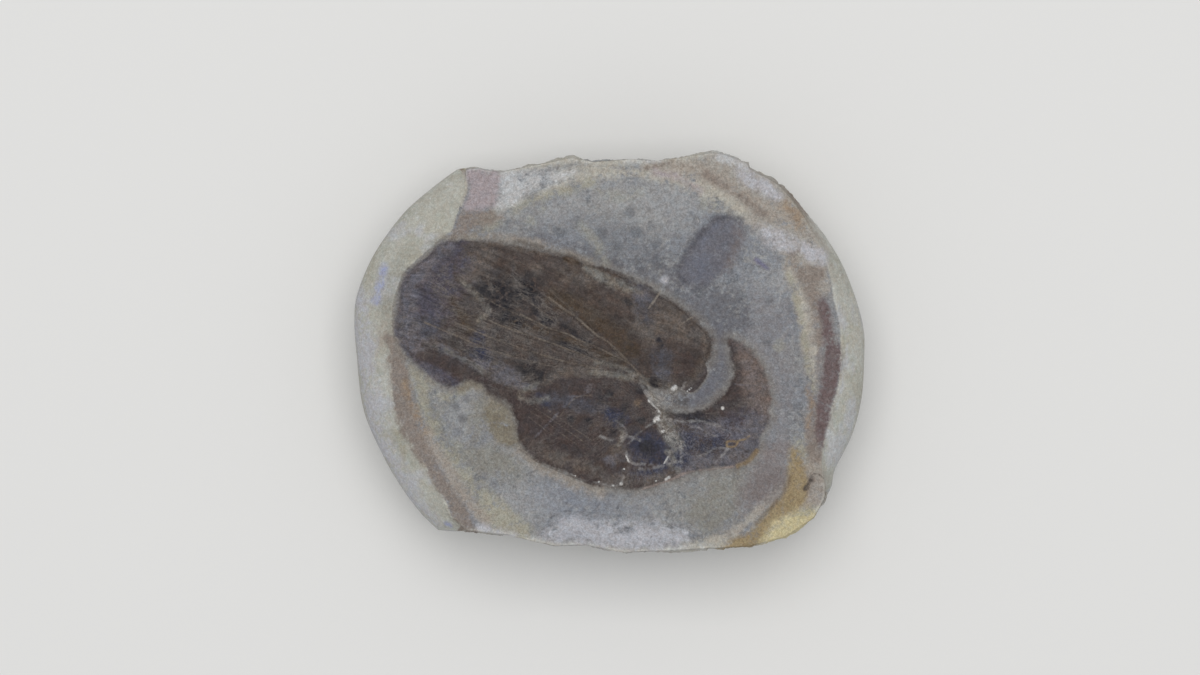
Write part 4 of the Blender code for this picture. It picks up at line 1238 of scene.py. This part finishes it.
# How strong something is on the hindwing and on the forewing, or off an area and on it.
STREAK_STRENGTH = (0.25, 0.50)
HAIR_STRENGTH = (0.60, 1.00)
HAIR_ON_BROWN = (1.00, 0.35)
COARSENESS = (0.75, 1.00)           # of the sides, and of the split face
ROUGHNESS = (0.80, 0.60)            # of the stone, and of the film

EDGE_HIGHLIGHT_COVER = 0.9
HALO_COVER = 0.55
VEIN_COVER = 0.85
HAIR_COVER = 0.7
COOL_COVER = 0.8
FILM_MOTTLE_GAIN = 1.3
FILM_GRAIN_GAIN = 0.7
GRAIN_GAIN = 0.95
SPECKS_GAIN = 0.80
THREADS_GAIN = 0.26
THREADS_ON_FILM = 0.5               # how much stronger the threads are on the film
SPECKS_HEIGHT = 1.6                 # as a multiple of the grain's
SPECULAR = 0.2
BUMP_STRENGTH = 0.55
BUMP_DISTANCE = 0.00004             # in metres


class Paint:
    """Adds nodes to one material. Every method returns the new node's output socket."""

    def __init__(self, name):
        self.material = bpy.data.materials.new(name)
        self.material.use_nodes = True
        self.tree = self.material.node_tree
        self.shader = self.tree.nodes["Principled BSDF"]
        coordinates = self.tree.nodes.new("ShaderNodeTexCoord")
        self.place = coordinates.outputs["Object"]

    def node(self, kind, inputs, **settings):
        node = self.tree.nodes.new(kind)
        for setting, value in settings.items():
            setattr(node, setting, value)
        for socket, value in inputs.items():
            if isinstance(value, bpy.types.NodeSocket):
                self.tree.links.new(value, node.inputs[socket])
            else:
                node.inputs[socket].default_value = value
        return node

    def attribute(self, name, output="Fac"):
        return self.node("ShaderNodeAttribute", {}, attribute_name=name).outputs[output]

    def math(self, operation, first, second=0.0, third=0.0):
        inputs = {0: first, 1: second, 2: third}
        return self.node("ShaderNodeMath", inputs, operation=operation).outputs[0]

    def times(self, first, second):
        return self.math("MULTIPLY", first, second)

    def times_plus(self, first, second, third):
        return self.math("MULTIPLY_ADD", first, second, third)

    def larger(self, first, second):
        return self.math("MAXIMUM", first, second)

    def stretch(self, vector, scale):
        inputs = {0: vector, 1: scale}
        return self.node("ShaderNodeVectorMath", inputs, operation="MULTIPLY").outputs[0]

    def noise(self, shape, place=None):
        """Noise of 0 to 1, at each point of the stone or at places given in millimetres."""
        size, detail, roughness, distortion = shape
        scale = 1.0 / size if place else 1.0 / (size * MM)
        inputs = {
            "Vector": place or self.place, "Scale": scale, "Detail": detail,
            "Roughness": roughness, "Distortion": distortion,
        }
        return self.node("ShaderNodeTexNoise", inputs).outputs[0]

    def patches(self, name):
        """The mask of one of the patches."""
        noise_shape, (low, high), (out_low, out_high) = PATCHES[name]
        return self.step(self.noise(noise_shape), low, high, out_low, out_high)

    def centred(self, value):
        """A value of 0 to 1, moved to -0.5 to 0.5."""
        return self.math("SUBTRACT", value, 0.5)

    def cells(self, size):
        """How far it is to the middle of the nearest irregular cell, in cell sizes."""
        inputs = {"Vector": self.place, "Scale": 1.0 / (size * MM)}
        return self.node("ShaderNodeTexVoronoi", inputs).outputs["Distance"]

    def fibres(self, shape, place=None):
        """1 along thin winding lines, 0 away from them."""
        size, half_width, detail, distortion = shape
        winding = self.noise((size, detail, FIBRE_ROUGHNESS, distortion), place)
        return self.step(self.math("ABSOLUTE", self.centred(winding)), half_width, 0.0)

    def step(self, value, low, high, out_low=0.0, out_high=1.0):
        """Goes smoothly from one output to the other as the value goes from low to high."""
        inputs = {
            "Value": value, "From Min": low, "From Max": high,
            "To Min": out_low, "To Max": out_high,
        }
        node = self.node("ShaderNodeMapRange", inputs, interpolation_type="SMOOTHSTEP")
        return node.outputs["Result"]

    def between(self, share, values):
        """The first value where the share is 0, and the second where it is 1."""
        return self.step(share, 0.0, 1.0, *values)

    def mix(self, below, above, share, blend="MIX"):
        node = self.node("ShaderNodeMix", {0: share}, data_type="RGBA", blend_type=blend)
        for socket, colour in ((6, below), (7, above)):
            if isinstance(colour, bpy.types.NodeSocket):
                self.tree.links.new(colour, node.inputs[socket])
            else:
                node.inputs[socket].default_value = (*colour, 1.0)
        return node.outputs[2]

    def blotch(self, colour, name, within=None):
        """Lays one of the blotches over a colour, or only within a mask."""
        above, noise_shape, (low, high), cover = BLOTCHES[name]
        mask = self.step(self.noise(noise_shape), low, high, 0.0, cover)
        return self.mix(colour, above, self.times(mask, within) if within else mask)

    def vary(self, colour, noise_value, amount):
        """The colour times a brightness that varies round 1 with a noise of 0 to 1."""
        brightness = self.times_plus(self.centred(noise_value), amount, 1.0)
        inputs = {0: colour, "Scale": brightness}
        return self.node("ShaderNodeVectorMath", inputs, operation="SCALE").outputs[0]


def paint_layers(paint, colour, layers, wander, patches, edge=MARKING_EDGE):
    """Lays one set of markings over a colour, thinner where the patches are low."""
    for name, (above, cover, wandering) in layers.items():
        depth = paint.times_plus(wander, 2 * wandering, 1.0)
        depth = paint.times(depth, paint.attribute(name))
        mask = paint.step(depth, 0.5 - edge, 0.5 + edge, 0.0, cover)
        colour = paint.mix(colour, above, paint.times(mask, patches))
    return colour


def matrix_colour(paint):
    """The grey stone of the split face, before its markings."""
    colour = paint.blotch(MATRIX, "matrix_broad")
    colour = paint.blotch(colour, "matrix_dark", paint.patches("clusters"))
    return paint.blotch(colour, "matrix_pale")


def skin_colour(paint):
    """The natural cream skin of the rounded sides and the underside."""
    colour = SKIN
    for name in BLOTCHES:
        if name.startswith("skin"):
            colour = paint.blotch(colour, name)
    return colour


def wall_colour(paint, skin, matrix):
    """Rings of colour that the broken ends cut through, from the skin inwards."""
    wander = paint.centred(paint.noise(WALL_WANDER))
    depth = paint.times_plus(wander, WALL_WANDER_SHARE, paint.attribute("below_skin"))
    colour = paint.mix(skin, WALL_BROWN, paint.step(depth, *WALL_BROWN_FROM))
    colour = paint.mix(colour, WALL_YELLOW, paint.step(depth, *WALL_YELLOW_FROM))
    return paint.mix(colour, matrix, paint.step(depth, *WALL_MATRIX_FROM))


def film_base(paint, on_fore, fan, wander, patches):
    """The brown film of the wings with its markings, streaks and mottles."""
    reddish = paint.patches("reddish")
    colour = paint.mix(paint.mix(*HIND_FILM, reddish), paint.mix(*FORE_FILM, reddish), on_fore)
    colour = paint_layers(paint, colour, FILM_LAYERS, wander, patches)
    streaks = paint.noise(FILM_STREAKS, paint.stretch(fan, STREAK_STRETCH))
    streaks = paint.step(streaks, *FILM_STREAK_RANGE)
    colour = paint.vary(colour, streaks, paint.between(on_fore, STREAK_STRENGTH))
    colour = paint.vary(colour, paint.noise(FILM_MOTTLE), FILM_MOTTLE_GAIN)
    tint = paint.mix(COOL_FILM_TINT, WARM_FILM_TINT, paint.patches("warm"))
    return paint.mix(colour, tint, 1.0, "MULTIPLY")


def film_hairs(paint, on_fore, fan):
    """How much pale hairs cover the film: along the fan, and in all directions."""
    veins = paint.fibres(FILM_VEINS, paint.stretch(fan, VEIN_STRETCH))
    hairs = paint.times(paint.fibres(FILM_HAIRS), HAIR_COVER)
    hairs = paint.larger(paint.times(veins, VEIN_COVER), hairs)
    smooth = paint.between(paint.attribute("film_brown"), HAIR_ON_BROWN)
    strength = paint.times(paint.between(on_fore, HAIR_STRENGTH), smooth)
    return paint.times(paint.times(hairs, strength), paint.patches("hairy"))


def film_colour(paint, wander, patches):
    """The brown to blue-black film of the wings, with its cells and hairs."""
    on_fore = paint.step(paint.attribute("fore"), *FOREWING_EDGE)
    places = [paint.attribute(name, "Vector") for name in ("hind_place", "fore_place")]
    fan = paint.mix(*places, on_fore)
    colour = film_base(paint, on_fore, fan, wander, patches)
    cells = paint.step(paint.cells(CELL_SIZE), *CELL_EDGE)
    dark = paint.larger(paint.patches("cloud"), cells)
    dark = paint.times(dark, paint.attribute("film_cells"))
    colour = paint.mix(colour, FILM_CELL, dark)
    colour = paint.mix(colour, FILM_HAIR, film_hairs(paint, on_fore, fan))
    return paint.vary(colour, paint.noise(FILM_GRAIN), FILM_GRAIN_GAIN)


def film_depth(paint, wander):
    """How far inside the film each place is, in millimetres, with a ragged edge."""
    depth = paint.larger(paint.attribute("hind"), paint.attribute("flap"))
    depth = paint.larger(paint.attribute("fore"), depth)
    tips = paint.times_plus(paint.attribute("film_tip"), *FILM_TIP_DEPTH)
    return paint.times_plus(wander, EDGE_WANDER, paint.larger(depth, tips))


def base_colour(paint, wander, on_face, on_film, depth):
    """All the colours of the stone, from its sides up to the mineral threads."""
    patches = paint.patches("marked")
    matrix = matrix_colour(paint)
    colour = paint.mix(wall_colour(paint, skin_colour(paint), matrix), matrix, on_face)
    # Painted highlight along the broken ends' top edge, lightening the steep wall against its shade.
    rim = paint.times_plus(wander, EDGE_WANDER, paint.attribute("rim"))
    rim = paint.step(rim, *EDGE_HIGHLIGHT_AWAY, 0.0, EDGE_HIGHLIGHT_COVER)
    colour = paint.mix(colour, EDGE_HIGHLIGHT, rim)
    colour = paint_layers(paint, colour, STONE_LAYERS, wander, patches)
    halo = paint.step(depth, *HALO_EDGE, 0.0, HALO_COVER)
    colour = paint.mix(colour, HALO, paint.times(halo, on_face))
    colour = paint.mix(colour, film_colour(paint, wander, patches), on_film)
    wisps = paint.larger(paint.fibres(LONG_WISPS), paint.fibres(SHORT_WISPS))
    colour = paint_layers(paint, colour, WEB_LAYERS, wander, wisps)
    return paint_layers(paint, colour, LINE_LAYERS, wander, patches, LINE_EDGE)


def add_grain(paint, colour, grain, specks, on_face, on_film):
    """The fine unevenness of the finished colour."""
    coarse = paint.between(on_face, COARSENESS)
    thready = paint.times_plus(on_film, THREADS_ON_FILM, coarse)
    colour = paint.vary(colour, grain, paint.times(coarse, GRAIN_GAIN))
    colour = paint.vary(colour, specks, paint.times(coarse, SPECKS_GAIN))
    colour = paint.vary(colour, paint.fibres(THREADS), paint.times(thready, THREADS_GAIN))
    cool = paint.times(paint.patches("cool"), COOL_COVER)
    return paint.mix(colour, COOL_TINT, cool, "MULTIPLY")


def stone_material():
    """The whole stone: skin, rings, matrix and film, and how rough each is."""
    paint = Paint("Fossil nodule stone")
    coarse, fine = (paint.centred(paint.noise(shape)) for shape in (COARSE_WANDER, FINE_WANDER))
    wander = paint.times_plus(fine, FINE_WANDER_SHARE, coarse)
    on_face = paint.times_plus(wander, FACE_WANDER, paint.attribute("on_face"))
    on_face = paint.step(on_face, *FACE_EDGE)
    depth = film_depth(paint, wander)
    on_film = paint.step(depth, *FILM_EDGE)
    grain = paint.noise(GRAIN)
    specks = paint.noise(SPECKS)
    colour = base_colour(paint, wander, on_face, on_film, depth)
    colour = add_grain(paint, colour, grain, specks, on_face, on_film)
    roughness = paint.between(on_film, ROUGHNESS)
    roughness = paint.math("ADD", roughness, paint.patches("gloss"))
    bump = {
        "Strength": BUMP_STRENGTH, "Distance": BUMP_DISTANCE,
        "Height": paint.times_plus(specks, SPECKS_HEIGHT, grain),
    }
    normal = paint.node("ShaderNodeBump", bump).outputs["Normal"]
    shader_inputs = {"Base Color": colour, "Roughness": roughness, "Normal": normal}
    for name, value in shader_inputs.items():
        paint.tree.links.new(value, paint.shader.inputs[name])
    paint.shader.inputs["Specular IOR Level"].default_value = SPECULAR
    return paint.material


# --- Camera, light and floor -----------------------------------------------------------------

CAMERA_DISTANCE = 635.0         # above the stone's widest row
LENS = 135.0
SENSOR = 36.0
KEY_PLACE = (0.0, 0.20, 1.0)    # in metres
KEY_SIZE = 0.9                  # in metres
KEY_POWER = 6.2
KEY_COLOUR = (1.0, 0.985, 0.96)
SKY_COLOUR = (0.97, 0.98, 1.0, 1.0)
SKY_STRENGTH = 0.54
FLOOR_HALF = 2.0                # half the floor's width, in metres
FLOOR_COLOUR = (0.74, 0.74, 0.73, 1.0)
FLOOR_ROUGHNESS = 0.9


def add_camera():
    """Looks straight down on the split face, with +Y up the picture."""
    data = bpy.data.cameras.new("camera")
    data.lens = LENS
    data.sensor_width = SENSOR
    camera = bpy.data.objects.new("camera", data)
    camera.location = (
        CAMERA_OVER[0] * MM, CAMERA_OVER[1] * MM, (CAMERA_DISTANCE + EQUATOR_HEIGHT) * MM,
    )
    bpy.context.collection.objects.link(camera)
    bpy.context.scene.camera = camera


def add_key_light():
    """A square soft box above the stone, turned towards it."""
    data = bpy.data.lights.new("key_light", "AREA")
    data.size = KEY_SIZE
    data.energy = KEY_POWER
    data.color = KEY_COLOUR
    light = bpy.data.objects.new("key_light", data)
    light.location = KEY_PLACE
    light.rotation_euler = (-Vector(KEY_PLACE)).to_track_quat("-Z", "Y").to_euler()
    bpy.context.collection.objects.link(light)


def add_sky():
    """Even, pale light from all sides."""
    world = bpy.data.worlds.new("studio")
    world.use_nodes = True
    background = world.node_tree.nodes["Background"]
    background.inputs["Color"].default_value = SKY_COLOUR
    background.inputs["Strength"].default_value = SKY_STRENGTH
    bpy.context.scene.world = world
    bpy.context.scene.view_settings.view_transform = "Standard"


def add_floor():
    """The plain pale floor that the stone lies on."""
    mesh = bpy.data.meshes.new("floor")
    corners = [(x * FLOOR_HALF, y * FLOOR_HALF, 0.0) for x, y in ((-1, -1), (1, -1), (1, 1), (-1, 1))]
    mesh.from_pydata(corners, [], [(0, 1, 2, 3)])
    floor = bpy.data.objects.new("floor", mesh)
    bpy.context.collection.objects.link(floor)
    material = bpy.data.materials.new("Pale floor")
    material.use_nodes = True
    shader = material.node_tree.nodes["Principled BSDF"]
    shader.inputs["Base Color"].default_value = FLOOR_COLOUR
    shader.inputs["Roughness"].default_value = FLOOR_ROUGHNESS
    mesh.materials.append(material)


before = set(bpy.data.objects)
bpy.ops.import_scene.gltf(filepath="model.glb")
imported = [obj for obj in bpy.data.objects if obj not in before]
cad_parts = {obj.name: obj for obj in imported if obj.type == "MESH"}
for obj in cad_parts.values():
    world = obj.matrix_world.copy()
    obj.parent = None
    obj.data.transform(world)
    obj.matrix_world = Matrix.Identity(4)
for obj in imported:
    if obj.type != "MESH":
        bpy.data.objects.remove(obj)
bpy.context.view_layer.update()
stone = add_stone(*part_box("nodule"))
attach(stone, "root")
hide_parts("nodule")
add_camera()
add_key_light()
add_sky()
add_floor()
